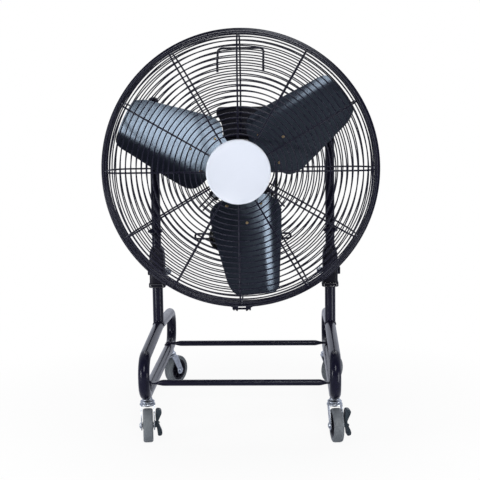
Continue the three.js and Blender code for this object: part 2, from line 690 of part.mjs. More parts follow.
add(fan, 'front_guard', join(...guard(FRONT_EYE_R, FRONT_DEPTH)), blackWire);
add(fan, 'rear_guard', flipped(join(...guard(REAR_EYE_R, REAR_DEPTH), ...mountWires())), blackWire);

// Channel-section band that holds both guard halves together, with its clamp ears below.
function rimBand() {
  const inner = RIM_R - BAND_DEPTH;
  const root = RIM_R - BAND_WALL;
  const lip = BAND_HALF_W - BAND_WALL;
  const channel = turned([[inner, -BAND_HALF_W], [RIM_R, -BAND_HALF_W], [RIM_R, BAND_HALF_W],
    [inner, BAND_HALF_W], [inner, lip], [root, lip], [root, -lip], [inner, -lip],
    [inner, -BAND_HALF_W]], 36);
  const gap = block(-BAND_SPLIT / 2, BAND_SPLIT / 2, -RIM_R - 5, -inner + 5,
    -BAND_HALF_W - 1, BAND_HALF_W + 1);
  const bolt = rodX(BAND_BOLT_D / 2 + SEAT, -BAND_SPLIT * 2, BAND_SPLIT * 2, 8)
    .translate(0, -RIM_R - BAND_EAR_H / 2, 0);
  return cut(join(cut(channel, gap), bandEar(-1), bandEar(1)), bolt);
}

function bandEar(side) {
  const near = side * BAND_SPLIT / 2;
  const low = -RIM_R - BAND_EAR_H;
  const root = -RIM_R + 1.2;
  const outline = [[near, root], [near, low], [near + side * 3, low], [near + side * 17, root]];
  return new THREE.ExtrudeGeometry(outlineShape(outline), { depth: 2 * BAND_HALF_W, bevelEnabled: false })
    .translate(0, 0, -BAND_HALF_W);
}

function bandBolt() {
  const y = -RIM_R - BAND_EAR_H / 2;
  const ear = BAND_SPLIT / 2 + 12;
  return rodX(BAND_BOLT_D / 2, -ear, ear, 8).translate(0, y, 0);
}

add(fan, 'rim_band', rimBand(), blackPaint);
add(fan, 'band_bolt', bandBolt(), zinc);

// Badge plate with a raised rim and a plain flat face.
function badge() {
  const back = FRONT_DEPTH + RING_OUTSIDE - WELD_BITE + SEAT;
  return turned([[0, back], [BADGE_R, back], [BADGE_R - 1, back + 4], [BADGE_R - 5, back + 4.2],
    [BADGE_R - 7.5, back + 3], [0, back + 3]], 24);
}

add(fan, 'badge_disc', badge(), badgeWhite);

// Pads and U-bolts that hold the rear guard to the masts; in the guard's own frame a mast runs along Y.
const MAST_DEPTH = GUARD_BACK - 2 * SEAT - SADDLE_T - MAST_R;       // mast axis

function saddle(x, y) {
  const pad = block(x - MAST_R, x + MAST_R, y - 5, y + 5, MAST_DEPTH + 5, GUARD_BACK - SEAT);
  return cut(pad, rodY(MAST_R + SEAT, y - 11, y + 11, 12).translate(x, 0, MAST_DEPTH));
}

// U-bolt round a mast, its legs between two rings, with a cross plate inside the guard.
function uBolt(x, y) {
  const plateSeat = -REAR_DEPTH - RING_LIFT + RING_WIRE_D / 2 + 2 * SEAT;
  const legTop = plateSeat + 2 + 4;
  const round = U_HALF / Math.cos(Math.PI / 12);   // the bend's chords clear the mast
  const bend = [1, 2, 3, 4, 5].map((k) => {
    const angle = (Math.PI * k) / 6;
    return v3(round * Math.cos(angle), 0, MAST_DEPTH - round * Math.sin(angle));
  });
  const arc = [v3(U_HALF, 0, MAST_DEPTH), ...bend, v3(-U_HALF, 0, MAST_DEPTH)];
  const wire = sweep([v3(U_HALF, 0, legTop), ...arc, v3(-U_HALF, 0, legTop)], U_BOLT_WIRE_R, 4);
  const plate = block(-U_HALF - 0.6, U_HALF + 0.6, -4, 4, plateSeat, plateSeat + 2);
  return join(wire, plate).translate(x, y, 0);
}

for (const [name, side] of [['left', -1], ['right', 1]]) {
  for (const [level, up] of [['lower', -1], ['upper', 1]]) {
    add(fan, `mast_saddle_${level}_${name}`, saddle(side * SIDE_X, up * SADDLE_RISE), blackPlastic);
    add(fan, `mast_u_bolt_${level}_${name}`, uBolt(side * SIDE_X, up * SADDLE_RISE), zinc);
  }
}

// ---------------------------------------------------------------- motor

const LUG_HALF_W = 13;

function motorBody() {
  const shell = turned([[0, MOTOR_REAR], [MOTOR_R * 0.62, MOTOR_REAR], [MOTOR_R * 0.88, MOTOR_REAR + 5],
    [MOTOR_R, MOTOR_REAR + 16], [MOTOR_R, MOTOR_FRONT - 9], [MOTOR_R - 3, MOTOR_FRONT - 9],
    [MOTOR_R - 3, MOTOR_FRONT - 14], [0, MOTOR_FRONT - 14]], 16);
  const lugBack = -REAR_DEPTH + SPOKE_D / 2 + SEAT;
  const lugs = MOUNT_ANGLES.map((angle) =>
    block(MOTOR_R - 5, LUG_R + 9, -LUG_HALF_W, LUG_HALF_W, lugBack, lugBack + LUG_T).rotateZ(angle * DEG));
  const bolts = MOUNT_ANGLES.map((angle) => motorStud().rotateZ(angle * DEG));
  const shaftHole = rodZ(SHAFT_D / 2 + SEAT, MOTOR_FRONT - 40, MOTOR_FRONT, 12);
  return cut(join(shell, ...lugs, ...bolts), shaftHole);
}

// End shield: covers the shell's open front and holds the front bearing.
function motorShield() {
  const bearingR = SHAFT_D / 2 + SEAT;
  const back = MOTOR_FRONT - 14 + SEAT;
  const spigot = MOTOR_R - 3 - SEAT;
  return turned([[bearingR, back], [spigot, back], [spigot, MOTOR_FRONT - 9 + SEAT],
    [MOTOR_R + 1.5, MOTOR_FRONT - 9 + SEAT], [MOTOR_R, MOTOR_FRONT - 5], [22, MOTOR_FRONT - 3],
    [20, MOTOR_FRONT], [bearingR, MOTOR_FRONT], [bearingR, back]], 16);
}

// Stud of a lug, which passes between the paired wires, with a washer and a nut behind them.
function motorStud() {
  const lugFront = -REAR_DEPTH + SPOKE_D / 2 + SEAT + LUG_T;
  const behind = GUARD_BACK - SEAT;
  const nut = hexRadius(10);
  return turned([[0, behind - 6], [nut, behind - 6], [nut, behind - 2], [9, behind - 2], [9, behind],
    [MOTOR_BOLT_D / 2, behind], [MOTOR_BOLT_D / 2, lugFront - 1], [0, lugFront - 1]], 6)
    .translate(LUG_R, 0, 0);
}

add(fan, 'motor_body', motorBody(), blackPaint);
add(fan, 'motor_end_shield', motorShield(), blackPaint);

// ---------------------------------------------------------------- impeller

const bladeTwist = (r) => 0.34 - (0.12 * (r - BLADE_ROOT_R)) / (BLADE_TIP_R - BLADE_ROOT_R);

// Height of the blade sheet's back at a place across (x) and along (r) the blade.
function bladeHeight(x, r) {
  const across = x - 10;
  const curl = Math.max(x - 55, 0);
  return bladeTwist(r) * across + 0.0011 * across * across + 0.006 * curl * curl - 3;
}

// Piecewise straight edge through [r, x] pairs.
function edgeAt(edge, r) {
  const next = Math.max(edge.findIndex(([radius]) => radius >= r), 1);
  const [r0, x0] = edge[next - 1];
  const [r1, x1] = edge[next];
  return x0 + ((x1 - x0) * (r - r0)) / (r1 - r0);
}

const LEADING_EDGE = [[BLADE_ROOT_R, -46], [110, -73], [BLADE_TIP_R - 12, -27], [BLADE_TIP_R + 0.1, -13]];
const TRAILING_EDGE = [[BLADE_ROOT_R, 86], [110, 93], [148, 92.5], [BLADE_TIP_R - 25, 87.5],
  [BLADE_TIP_R + 0.1, 84]];

// Sheet with its outline given by two edges and two end radii, laid on the blade's curved surface.
function sheet(edges, rootR, tipR, lift, thickness, across, along) {
  const geometry = new THREE.BoxGeometry(1, 1, 1, across, along, 1);
  const place = geometry.attributes.position;
  for (let i = 0; i < place.count; i += 1) {
    const v = 0.5 - place.getY(i);
    const level = rootR + v * (tipR - rootR);
    const left = edgeAt(edges[0], level);
    const right = edgeAt(edges[1], level);
    const x = left + (place.getX(i) + 0.5) * (right - left);
    const reach = Math.sqrt(Math.max(tipR * tipR - x * x, 1));
    const y = rootR + v * (reach - rootR);
    place.setXYZ(i, x, -y, bladeHeight(x, y) + lift + (place.getZ(i) + 0.5) * thickness);
  }
  return geometry;
}

const RIVETS = [[-32, 85], [48, 77], [15, 123]];
const RIVET_SHANK_R = 2.5;

// Stands a solid on the blade's back at (x, r), square to the sheet.
function onSheet(geometry, x, r) {
  const slopeX = (bladeHeight(x + 1, r) - bladeHeight(x - 1, r)) / 2;
  const slopeR = (bladeHeight(x, r + 1) - bladeHeight(x, r - 1)) / 2;
  const lean = new THREE.Quaternion().setFromUnitVectors(v3(0, 0, 1), v3(-slopeX, slopeR, 1).normalize());
  return geometry.applyQuaternion(lean).translate(x, -r, bladeHeight(x, r));
}

function rivetHoles() {
  return RIVETS.map(([x, r]) => onSheet(rodZ(RIVET_SHANK_R + 2 * SEAT, -9, 9, 6), x, r));
}

function blade() {
  const metal = sheet([LEADING_EDGE, TRAILING_EDGE], BLADE_ROOT_R, BLADE_TIP_R, 0, BLADE_T, 6, 4);
  return cut(metal, ...rivetHoles());
}

const ARM_T = 3;
const ARM_GAP = 0.8;              // between a blade's back and its arm
const ARM_ROOT_R = 30;
const ARM_TIP_R = 137;
const ARM_LEFT = [[ARM_ROOT_R, -30], [BLADE_ROOT_R, -46], [100, -40], [ARM_TIP_R, 3]];
const ARM_RIGHT = [[ARM_ROOT_R, 34], [BLADE_ROOT_R, 60], [100, 48], [ARM_TIP_R, 27]];

// Hub with three arms that carry the blades from behind, and the rivets that hold them.
function hubSpider() {
  const barrel = turned([[0, -20], [22, -20], [HUB_R, -14], [HUB_R, 10], [24, 16], [22, 34], [0, 34]], 12);
  const arm = () => join(
    sheet([ARM_LEFT, ARM_RIGHT], ARM_ROOT_R, ARM_TIP_R, -ARM_T - ARM_GAP, ARM_T, 3, 3), ...RIVETS.map(rivet));
  const arms = [0, 120, 240].map((angle) => arm().rotateZ(angle * DEG));
  return cut(join(barrel, ...arms), rodZ(SHAFT_D / 2 + SEAT, -30, 40, 10));
}

// Round-headed rivet through blade and arm.
function rivet([x, r]) {
  const front = BLADE_T + 2 * SEAT;
  const back = -ARM_T - ARM_GAP + SEAT;
  const head = RIVET_D / 2;
  const solid = turned([[0, back - 2.5], [RIVET_SHANK_R, back - 2.5], [RIVET_SHANK_R, front], [head, front],
    [0, front + 2.6]], 6);
  return onSheet(solid, x, r);
}

const impeller = new THREE.Group();
fan.add(impeller);
for (const k of [1, 2, 3]) {
  add(impeller, `blade_${k}`, blade(), bladePaint).rotation.z = (k - 1) * 120 * DEG;
}
add(impeller, 'hub_spider', hubSpider(), bladePaint);
add(impeller, 'shaft', turned([[0, MOTOR_FRONT - 34], [SHAFT_D / 2, MOTOR_FRONT - 34], [SHAFT_D / 2, 38],
  [SHAFT_D / 2 - 1.5, 40], [0, 40]], 10), zinc);

// ---------------------------------------------------------------- rear wires

function carryHandle() {
  const back = GUARD_BACK - SEAT - HANDLE_WIRE_D / 2;
  const corners = [
    v3(-HANDLE_HALF_W, HANDLE_LOW_Y, back), v3(-HANDLE_HALF_W, HANDLE_LOW_Y + 24, back),
    v3(-HANDLE_HALF_W, HANDLE_TOP_Y, back - HANDLE_STAND_OFF),
    v3(HANDLE_HALF_W, HANDLE_TOP_Y, back - HANDLE_STAND_OFF),
    v3(HANDLE_HALF_W, HANDLE_LOW_Y + 24, back), v3(HANDLE_HALF_W, HANDLE_LOW_Y, back),
  ];
  return sweep(bent(corners, 12, 2), HANDLE_WIRE_D / 2, 5);
}

add(fan, 'carry_handle', carryHandle(), blackWire);

const LAYER_PITCH = CORD_D + CORD_TURN_GAP;
const HANK_NEAR = GUARD_BACK - SEAT - CORD_D / 2;                  // first layer's depth
const HANK_FAR = HANK_NEAR - LAYER_PITCH;

// Wire hook: two necks inside the hank's end loop, bent outwards behind it and joined by a round nose.
function cordHook(side) {
  const start = GUARD_BACK - SEAT;
  const behind = HANK_FAR - CORD_D / 2 - SEAT - HOOK_WIRE_D / 2;
  const half = 6;
  const neckR = HANK_INNER_R - CORD_D / 2 - 2 * SEAT - HOOK_WIRE_D / 2;
  const neckX = HANK_ARC_X + Math.sqrt(neckR * neckR - half * half);
  const corners = [
    v3(side * neckX, HANK_Y + half, start), v3(side * neckX, HANK_Y + half, behind),
    v3(side * HOOK_REACH, HANK_Y + half, behind), v3(side * HOOK_REACH, HANK_Y - half, behind),
    v3(side * neckX, HANK_Y - half, behind), v3(side * neckX, HANK_Y - half, start),
  ];
  return sweep(bent(corners, half - 0.6, 2), HOOK_WIRE_D / 2, 5);
}

for (const [name, side] of [['left', -1], ['right', 1]]) {
  add(fan, `cord_hook_${name}`, cordHook(side), blackWire);
}

// ---------------------------------------------------------------- switch box and cord

function boxShape() {
  const shape = new THREE.Shape();
  const half = BOX_W / 2;
  const corner = 12;
  shape.moveTo(BOX_X - half + corner, BOX_Y + BOX_H / 2);
  shape.absarc(BOX_X - half + corner, BOX_Y + BOX_H / 2 - corner, corner, Math.PI / 2, Math.PI, false);
  shape.quadraticCurveTo(BOX_X - half * 0.55, BOX_Y, BOX_X - half * 0.5, BOX_Y - BOX_H / 2);
  shape.lineTo(BOX_X + half * 0.5, BOX_Y - BOX_H / 2);
  shape.lineTo(BOX_X + half, BOX_Y - BOX_H * 0.3);
  shape.absarc(BOX_X + half - corner, BOX_Y + BOX_H / 2 - corner, corner, 0, Math.PI / 2, false);
  return shape;
}

const BOX_BACK = GUARD_BACK - SEAT - BOX_DEPTH;

function switchBox() {
  const shell = new THREE.ExtrudeGeometry(boxShape(), {
    depth: BOX_DEPTH - 3, curveSegments: 2,
    bevelEnabled: true, bevelThickness: 3, bevelSize: 2.5, bevelOffset: -2.5, bevelSegments: 1,
  });
  const trimmed = cut(shell.translate(0, 0, BOX_BACK + 3), block(-200, 200, 0, 200, GUARD_BACK - SEAT, 0));
  const shaftHole = rodZ(holeRadius(KNOB_SHAFT_R, 6), BOX_BACK - 1, BOX_BACK + KNOB_SHAFT_DEEP + 2, 6)
    .translate(BOX_X, KNOB_Y, 0);
  return cut(trimmed, shaftHole);
}

// Rotary speed knob with a raised grip bar, its shaft let into the box.
function switchKnob() {
  const face = BOX_BACK - SEAT;
  const skirt = turned([[0, face - 6], [KNOB_R - 2, face - 6], [KNOB_R, face - 4], [KNOB_R, face],
    [0, face]], 12);
  const grip = block(-3.5, 3.5, -KNOB_R + 1.5, KNOB_R - 1.5, face - 15, face - 5);
  const shank = rodZ(KNOB_SHAFT_R, face - 1, BOX_BACK + KNOB_SHAFT_DEEP, 6);
  return join(skirt, grip, shank).translate(BOX_X, KNOB_Y, 0);
}

// The lead leaves the box's right side, bends down and runs to the hank's outer turn.
const GLAND_Y = 100;
const GLAND_L = 26;
const LEAD_DEPTH = BOX_BACK + BOX_DEPTH / 2;
const boxRight = BOX_X + BOX_W / 2;
const HANK_OUTER_R = HANK_INNER_R + HANK_TURNS_PER_LAYER * LAYER_PITCH;
const HANK_RIGHT = HANK_ARC_X + HANK_OUTER_R;
const LEAD_EXIT = boxRight + GLAND_L + SEAT;
const LEAD_END = HANK_Y + CORD_D + SEAT;

function cordGland() {
  const r = CORD_D / 2;
  const relief = turned([[0, -3], [9, -3], [9, 4], [6.5, 5], [r + 1.2, GLAND_L], [0, GLAND_L]], 12);
  return relief.rotateY(Math.PI / 2).translate(boxRight, GLAND_Y, LEAD_DEPTH);
}

const LEAD_POINTS = [
  [LEAD_EXIT + 4, GLAND_Y, LEAD_DEPTH], [LEAD_EXIT + 10, GLAND_Y - 1, LEAD_DEPTH],
  [LEAD_EXIT + 19, GLAND_Y - 7, LEAD_DEPTH], [LEAD_EXIT + 27, GLAND_Y - 20, LEAD_DEPTH],
  [LEAD_EXIT + 30, GLAND_Y - 38, LEAD_DEPTH + 1], [LEAD_EXIT + 29, GLAND_Y - 62, LEAD_DEPTH + 3],
  [HANK_RIGHT + 2, GLAND_Y - 100, LEAD_DEPTH + 6], [HANK_RIGHT, GLAND_Y - 140, HANK_NEAR - 4],
  [HANK_RIGHT, GLAND_Y - 180, HANK_NEAR - 1], [HANK_RIGHT, GLAND_Y - 215, HANK_NEAR],
  [HANK_RIGHT, LEAD_END + 14, HANK_NEAR], [HANK_RIGHT, LEAD_END, HANK_NEAR],
].map(([x, y, z]) => v3(x, y, z));

function smoothed(points, steps) {
  const curve = new THREE.CatmullRomCurve3(points, false, 'centripetal');
  return curve.getSpacedPoints(steps);
}

const ARC_STEPS = 10;             // per half turn
const RUN_STEPS = 2;
const TURN_STEPS = 2 * (ARC_STEPS + RUN_STEPS);
const HANK_TURNS = 2 * HANK_TURNS_PER_LAYER;

// Place on the hank after a number of turns: inwards in the near layer, outwards in the far one.
function hankPoint(turn) {
  const inset = LAYER_PITCH * Math.min(turn, HANK_TURNS - turn);
  const r = HANK_OUTER_R - inset;
  const climb = THREE.MathUtils.clamp((turn - HANK_TURNS_PER_LAYER) / 0.5 + 0.5, 0, 1);
  const depth = THREE.MathUtils.lerp(HANK_NEAR, HANK_FAR, climb);
  const step = Math.round((turn % 1) * TURN_STEPS) % TURN_STEPS;
  const quarter = ARC_STEPS / 2;
  const turnAngle = (steps) => (-Math.PI * steps) / ARC_STEPS;
  if (step <= quarter) return onArc(1, r, turnAngle(step), depth);
  if (step < quarter + RUN_STEPS) return onRun(-1, r, (step - quarter) / RUN_STEPS, depth);
  if (step <= quarter + RUN_STEPS + ARC_STEPS) return onArc(-1, r, turnAngle(step - RUN_STEPS), depth);
  if (step < 2 * RUN_STEPS + quarter + ARC_STEPS) {
    return onRun(1, r, (step - quarter - RUN_STEPS - ARC_STEPS) / RUN_STEPS, depth);
  }
  return onArc(1, r, turnAngle(step - 2 * RUN_STEPS), depth);
}

function onArc(side, r, angle, depth) {
  return v3(side * HANK_ARC_X + r * Math.cos(angle), HANK_Y + r * Math.sin(angle), depth);
}

function onRun(up, r, share, depth) {
  return v3(up * HANK_ARC_X * (2 * share - 1), HANK_Y + up * r, depth);
}

// The wound lead: short straight ends and the loops between them.
function hankRoute() {
  const steps = HANK_TURNS * TURN_STEPS;
  const loops = Array.from({ length: steps + 1 }, (_, k) => hankPoint(k / TURN_STEPS));
  const first = loops[0].clone().add(v3(0, CORD_D, 0));
  const last = loops[steps].clone().add(v3(0, -CORD_D, 0));
  return [first, ...loops, last];
}

// Least clear distance between two stretches of a route that are not neighbours along it.
function leastSelfGap(stations, diameter, perSegment) {
  const samples = [];
  for (let i = 0; i < stations.length - 1; i += 1) {
    for (let k = 0; k < perSegment; k += 1) {
      samples.push(stations[i].clone().lerp(stations[i + 1], k / perSegment));
    }
  }
  const along = [0];
  for (let i = 1; i < samples.length; i += 1) {
    along.push(along[i - 1] + samples[i].distanceTo(samples[i - 1]));
  }
  let least = Infinity;
  for (let i = 0; i < samples.length; i += 1) {
    for (let j = i + 1; j < samples.length; j += 1) {
      if (along[j] - along[i] > 6 * diameter) least = Math.min(least, samples[i].distanceTo(samples[j]));
    }
  }
  return least - diameter;
}

function routeLength(stations) {
  return stations.slice(1).reduce((sum, here, i) => sum + here.distanceTo(stations[i]), 0);
}

// From the hank's end the lead hangs down to its plug.
const TAIL_START = HANK_Y - CORD_D - SEAT;
const PLUG_X = HANK_RIGHT - 19;
const PLUG_TOP = HANK_Y - 66;
const tailRoute = [v3(HANK_RIGHT, TAIL_START, HANK_FAR), ...smoothed([
  [HANK_RIGHT, TAIL_START - 5, HANK_FAR], [HANK_RIGHT - 0.6, TAIL_START - 10, HANK_FAR],
  [HANK_RIGHT - 4, TAIL_START - 20, HANK_FAR], [HANK_RIGHT - 13, TAIL_START - 34, HANK_FAR],
  [PLUG_X - 0.5, TAIL_START - 47, HANK_FAR], [PLUG_X, PLUG_TOP + SEAT, HANK_FAR],
].map(([x, y, z]) => v3(x, y, z)), 6)];

const leadRoute = [v3(LEAD_EXIT, GLAND_Y, LEAD_DEPTH), ...smoothed(LEAD_POINTS, 14)];
const hankStations = hankRoute();
console.log(`hank: least gap between turns ${leastSelfGap(hankStations, CORD_D, 4).toFixed(2)} mm`);
const cordTotal = [leadRoute, hankStations, tailRoute].map(routeLength).reduce((a, b) => a + b);
console.log(`cord: ${cordTotal.toFixed(0)} mm from gland to plug`);

// Round-pin plug, hanging with its pins down.
const PLUG_PIN_D = 4.8;
const PLUG_PIN_SPACING = 19;
const PLUG_BODY_L = 38;

function plug() {
  const body = turned([[0, 0], [15, 0], [17.5, 3], [17.5, 14], [13, 22], [8, PLUG_BODY_L],
    [0, PLUG_BODY_L]], 10).scale(1, 0.6, 1);
  const pins = [-1, 1].map((side) => turned([[0, -19], [1.4, -19], [PLUG_PIN_D / 2, -17],
    [PLUG_PIN_D / 2, 5], [0, 5]], 6).translate(side * PLUG_PIN_SPACING / 2, 0, 0));
  return join(body, ...pins).rotateX(-Math.PI / 2).translate(PLUG_X, PLUG_TOP - PLUG_BODY_L, HANK_FAR);
}

add(fan, 'switch_box', join(switchBox(), cordGland()), blackPlastic);
add(fan, 'switch_knob', switchKnob(), blackPlastic);
add(fan, 'cord_lead', sweep(leadRoute, CORD_D / 2, 6), cordBlack);
add(fan, 'cord_hank', sweep(hankStations, CORD_D / 2, 6), cordBlack);
add(fan, 'cord_tail', sweep(tailRoute, CORD_D / 2, 6), cordBlack);
add(fan, 'cord_plug', plug(), blackPlastic);

export default part;
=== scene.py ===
"""Looks of a mobile cage fan: wire guards, blades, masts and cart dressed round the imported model.

Metres, +Z up, +X to the right of someone who faces the fan, which blows towards -Y.
The fan's own pieces are shaped in fan space, with +Z out of the front and +Y up.
"""

import json
import math

import bmesh
import bpy
import numpy as np
from mathutils import Matrix, Vector

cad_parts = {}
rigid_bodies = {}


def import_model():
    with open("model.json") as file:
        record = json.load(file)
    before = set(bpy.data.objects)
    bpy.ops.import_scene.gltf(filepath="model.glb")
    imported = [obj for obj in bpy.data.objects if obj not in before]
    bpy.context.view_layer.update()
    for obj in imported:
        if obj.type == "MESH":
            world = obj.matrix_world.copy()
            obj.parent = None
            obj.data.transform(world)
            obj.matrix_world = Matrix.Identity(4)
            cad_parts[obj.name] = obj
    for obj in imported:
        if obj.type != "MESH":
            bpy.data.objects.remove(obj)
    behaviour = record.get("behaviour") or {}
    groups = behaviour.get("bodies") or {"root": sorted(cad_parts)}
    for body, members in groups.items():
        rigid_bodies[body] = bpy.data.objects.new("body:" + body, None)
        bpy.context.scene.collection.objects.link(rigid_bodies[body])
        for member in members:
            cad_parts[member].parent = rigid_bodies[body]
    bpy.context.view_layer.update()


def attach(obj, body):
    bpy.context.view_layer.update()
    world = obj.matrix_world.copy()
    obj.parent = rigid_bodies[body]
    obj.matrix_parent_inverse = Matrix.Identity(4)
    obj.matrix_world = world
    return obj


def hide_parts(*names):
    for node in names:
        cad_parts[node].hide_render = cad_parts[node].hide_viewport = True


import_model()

# ---------------------------------------------------------------- sizes

SEAT = 0.0003          # gap at which one piece rests on another
OVERLAP = 0.0001       # how far welded or stacked pieces run into each other
SIDES = (("left", -1), ("right", 1))

# cart
FRAME_R = 0.0127
SIDE_X = 0.209
LEG_Y = 0.284
FRAME_LOW_Z = 0.105
LEG_TOP_Z = 0.190
PEAK_Z = 0.2095
FRAME_BEND_R = 0.040
BAR_R = 0.007
BAR_Y = LEG_Y - 0.081
BAR_FLAT_W = 0.019
BAR_FLAT_T = 0.003
BAR_TAPER = 0.024

# masts and collars
MAST_R = 0.011
MAST_BOTTOM_Z = 0.236
MAST_TOP_Z = 0.7540
UPRIGHT_R = 0.0127
BORE_R = 0.0113
UPRIGHT_TOP_Z = 0.372
COLLAR_HALF_W = 0.0185
COLLAR_FRONT = 0.0167
COLLAR_BACK = 0.029
COLLAR_BOTTOM_Z = 0.305
COLLAR_TOP_Z = 0.403
COLLAR_SLOT = 0.0024
CLAMP_R = 0.005
CLAMP_Y = 0.021
CLAMP_Z = 0.340

# casters
PIN_Y = 0.235
CASTER_TRAIL = 0.024
WHEEL_R = 0.0375
HUB_R = 0.027
FORK_INNER = 0.0129
FORK_OUTER = 0.0154
HUB_RIBS = 8
CROWN_LOW_Z = 0.0775
CROWN_TOP_Z = 0.084
# side, end and swivel angle in degrees
CASTERS = {
    "front_left": (-1, -1, 8),
    "front_right": (1, -1, 8),
    "rear_left": (-1, 1, 147),
    "rear_right": (1, 1, 143),
}

# guard
FAN_Z = 0.594
RIM_Y = -0.09965
RIM_R = 0.320
BAND_DEPTH = 0.010
BAND_HALF_W = 0.0075
BAND_WALL = 0.0015
BAND_GAP_HALF = 0.009
SPOKE_R = 0.0020
RING_R = 0.00145
EYE_WIRE_R = 0.00175
RIM_WIRE_R = 0.0025
RIM_RING_R = 0.3125
SPOKE_COUNT = 12
RING_PITCH = 0.012
FIRST_RING = 0.0835
FLAT_R = 0.258
SPOKE_END_R = 0.30745
RING_SEAT = SPOKE_R + RING_R - OVERLAP
EYE_SEAT = SPOKE_R + EYE_WIRE_R - OVERLAP
FRONT_DEPTH, FRONT_EYE = 0.088, 0.060
REAR_DEPTH, REAR_EYE = 0.076, 0.075
GUARD_BACK = -0.08205
MAST_DEPTH = -0.09965
SADDLE_Y = 0.150
BADGE_R = 0.072
BADGE_BACK = 0.09355

# impeller and motor
BLADE_TIP = 0.292
BLADE_ROOT = 0.055
BLADE_T = 0.002
BLADE_COUNT = 3
MOTOR_R = 0.066
MOTOR_REAR = -0.098
MOTOR_FRONT = -0.027
LUG_R = 0.090
LUG_COUNT = 4
FIN_COUNT = 40
SHIELD_SCREW_R = 0.056
SHAFT_R = 0.008

# switch box, handle, hooks and lead
BOX_X, BOX_Y = -0.017, 0.106
BOX_W, BOX_H = 0.090, 0.074
BOX_BACK = -0.11635
BOX_HEAD_RIGHT = 0.062
KNOB_Y = 0.110
KNOB_R = 0.016
CORD_D = 0.007
GLAND_Y = 0.100
GLAND_L = 0.026
HOOK_X = 0.0581
HOOK_REACH = 0.115
HANK_Y = -0.166

FAN = Matrix.Translation((0, RIM_Y, FAN_Z)) @ Matrix.Rotation(math.pi / 2, 4, "X")


def new_object(name, data):
    made = bpy.data.objects.new(name, data)
    bpy.context.scene.collection.objects.link(made)
    return made


# ---------------------------------------------------------------- camera

IMAGE_PIXELS = 480
FOCAL_PIXELS = 1078
SENSOR = 36.0
CAMERA_AT = Vector((0.1098, -2.574, 0.7424))
YAW, PITCH, ROLL = math.radians(-2.60), math.radians(7.17), math.radians(-0.81)


def make_camera():
    forward = Vector((math.sin(YAW) * math.cos(PITCH), math.cos(YAW) * math.cos(PITCH), -math.sin(PITCH)))
    level = Vector((math.cos(YAW), -math.sin(YAW), 0))
    upward = level.cross(forward)
    right = level * math.cos(ROLL) + upward * math.sin(ROLL)
    up = upward * math.cos(ROLL) - level * math.sin(ROLL)
    data = bpy.data.cameras.new("view")
    data.sensor_width = SENSOR
    data.lens = SENSOR * FOCAL_PIXELS / IMAGE_PIXELS
    camera = new_object("view", data)
    turn = Matrix((right, up, -forward)).transposed().to_4x4()
    camera.matrix_world = Matrix.Translation(CAMERA_AT) @ turn
    bpy.context.scene.camera = camera


# ---------------------------------------------------------------- material building


class Nodes:
    """Adds nodes to a tree and links them by short calls."""

    def __init__(self, tree):
        self.tree = tree

    def add(self, kind, operation=None, **settings):
        node = self.tree.nodes.new(kind)
        if operation:
            node.operation = operation
        for key, value in settings.items():
            setattr(node, key, value)
        return node

    def feed(self, socket, value):
        if isinstance(value, bpy.types.NodeSocket):
            self.tree.links.new(value, socket)
        elif value is not None:
            socket.default_value = value

    def math(self, operation, a, b=None, clamp=False):
        node = self.add("ShaderNodeMath", operation, use_clamp=clamp)
        self.feed(node.inputs[0], a)
        if b is not None:
            self.feed(node.inputs[1], b)
        return node.outputs[0]

    def spread(self, value, low, high, to_low=0.0, to_high=1.0):
        node = self.add("ShaderNodeMapRange")
        for name, given in (("Value", value), ("From Min", low), ("From Max", high),
                            ("To Min", to_low), ("To Max", to_high)):
            self.feed(node.inputs[name], given)
        return node.outputs[0]

    def noise(self, vector, scale, detail=3.0, roughness=0.5):
        node = self.add("ShaderNodeTexNoise")
        self.feed(node.inputs["Vector"], vector)
        self.feed(node.inputs["Scale"], scale)
        node.inputs["Detail"].default_value = detail
        node.inputs["Roughness"].default_value = roughness
        return node.outputs["Fac"]

    def mix(self, factor, a, b):
        node = self.add("ShaderNodeMix", data_type="RGBA")
        self.feed(node.inputs[0], factor)
        self.feed(node.inputs[6], a)
        self.feed(node.inputs[7], b)
        return node.outputs[2]

    def bump(self, height, strength, distance):
        node = self.add("ShaderNodeBump")
        self.feed(node.inputs["Height"], height)
        self.feed(node.inputs["Strength"], strength)
        self.feed(node.inputs["Distance"], distance)
        return node.outputs["Normal"]


def rgb(red, green, blue):
    return (red, green, blue, 1.0)


def new_group(name, inputs, outputs):
    """Shader node group with named sockets; returns its tree, input node and output node."""
    tree = bpy.data.node_groups.new(name, "ShaderNodeTree")
    for label, kind, value in inputs:
        socket = tree.interface.new_socket(label, in_out="INPUT", socket_type=kind)
        if value is not None:
            socket.default_value = value
    for label, kind in outputs:
        tree.interface.new_socket(label, in_out="OUTPUT", socket_type=kind)
    return tree, tree.nodes.new("NodeGroupInput"), tree.nodes.new("NodeGroupOutput")


FLOAT, COLOR, VECTOR = "NodeSocketFloat", "NodeSocketColor", "NodeSocketVector"


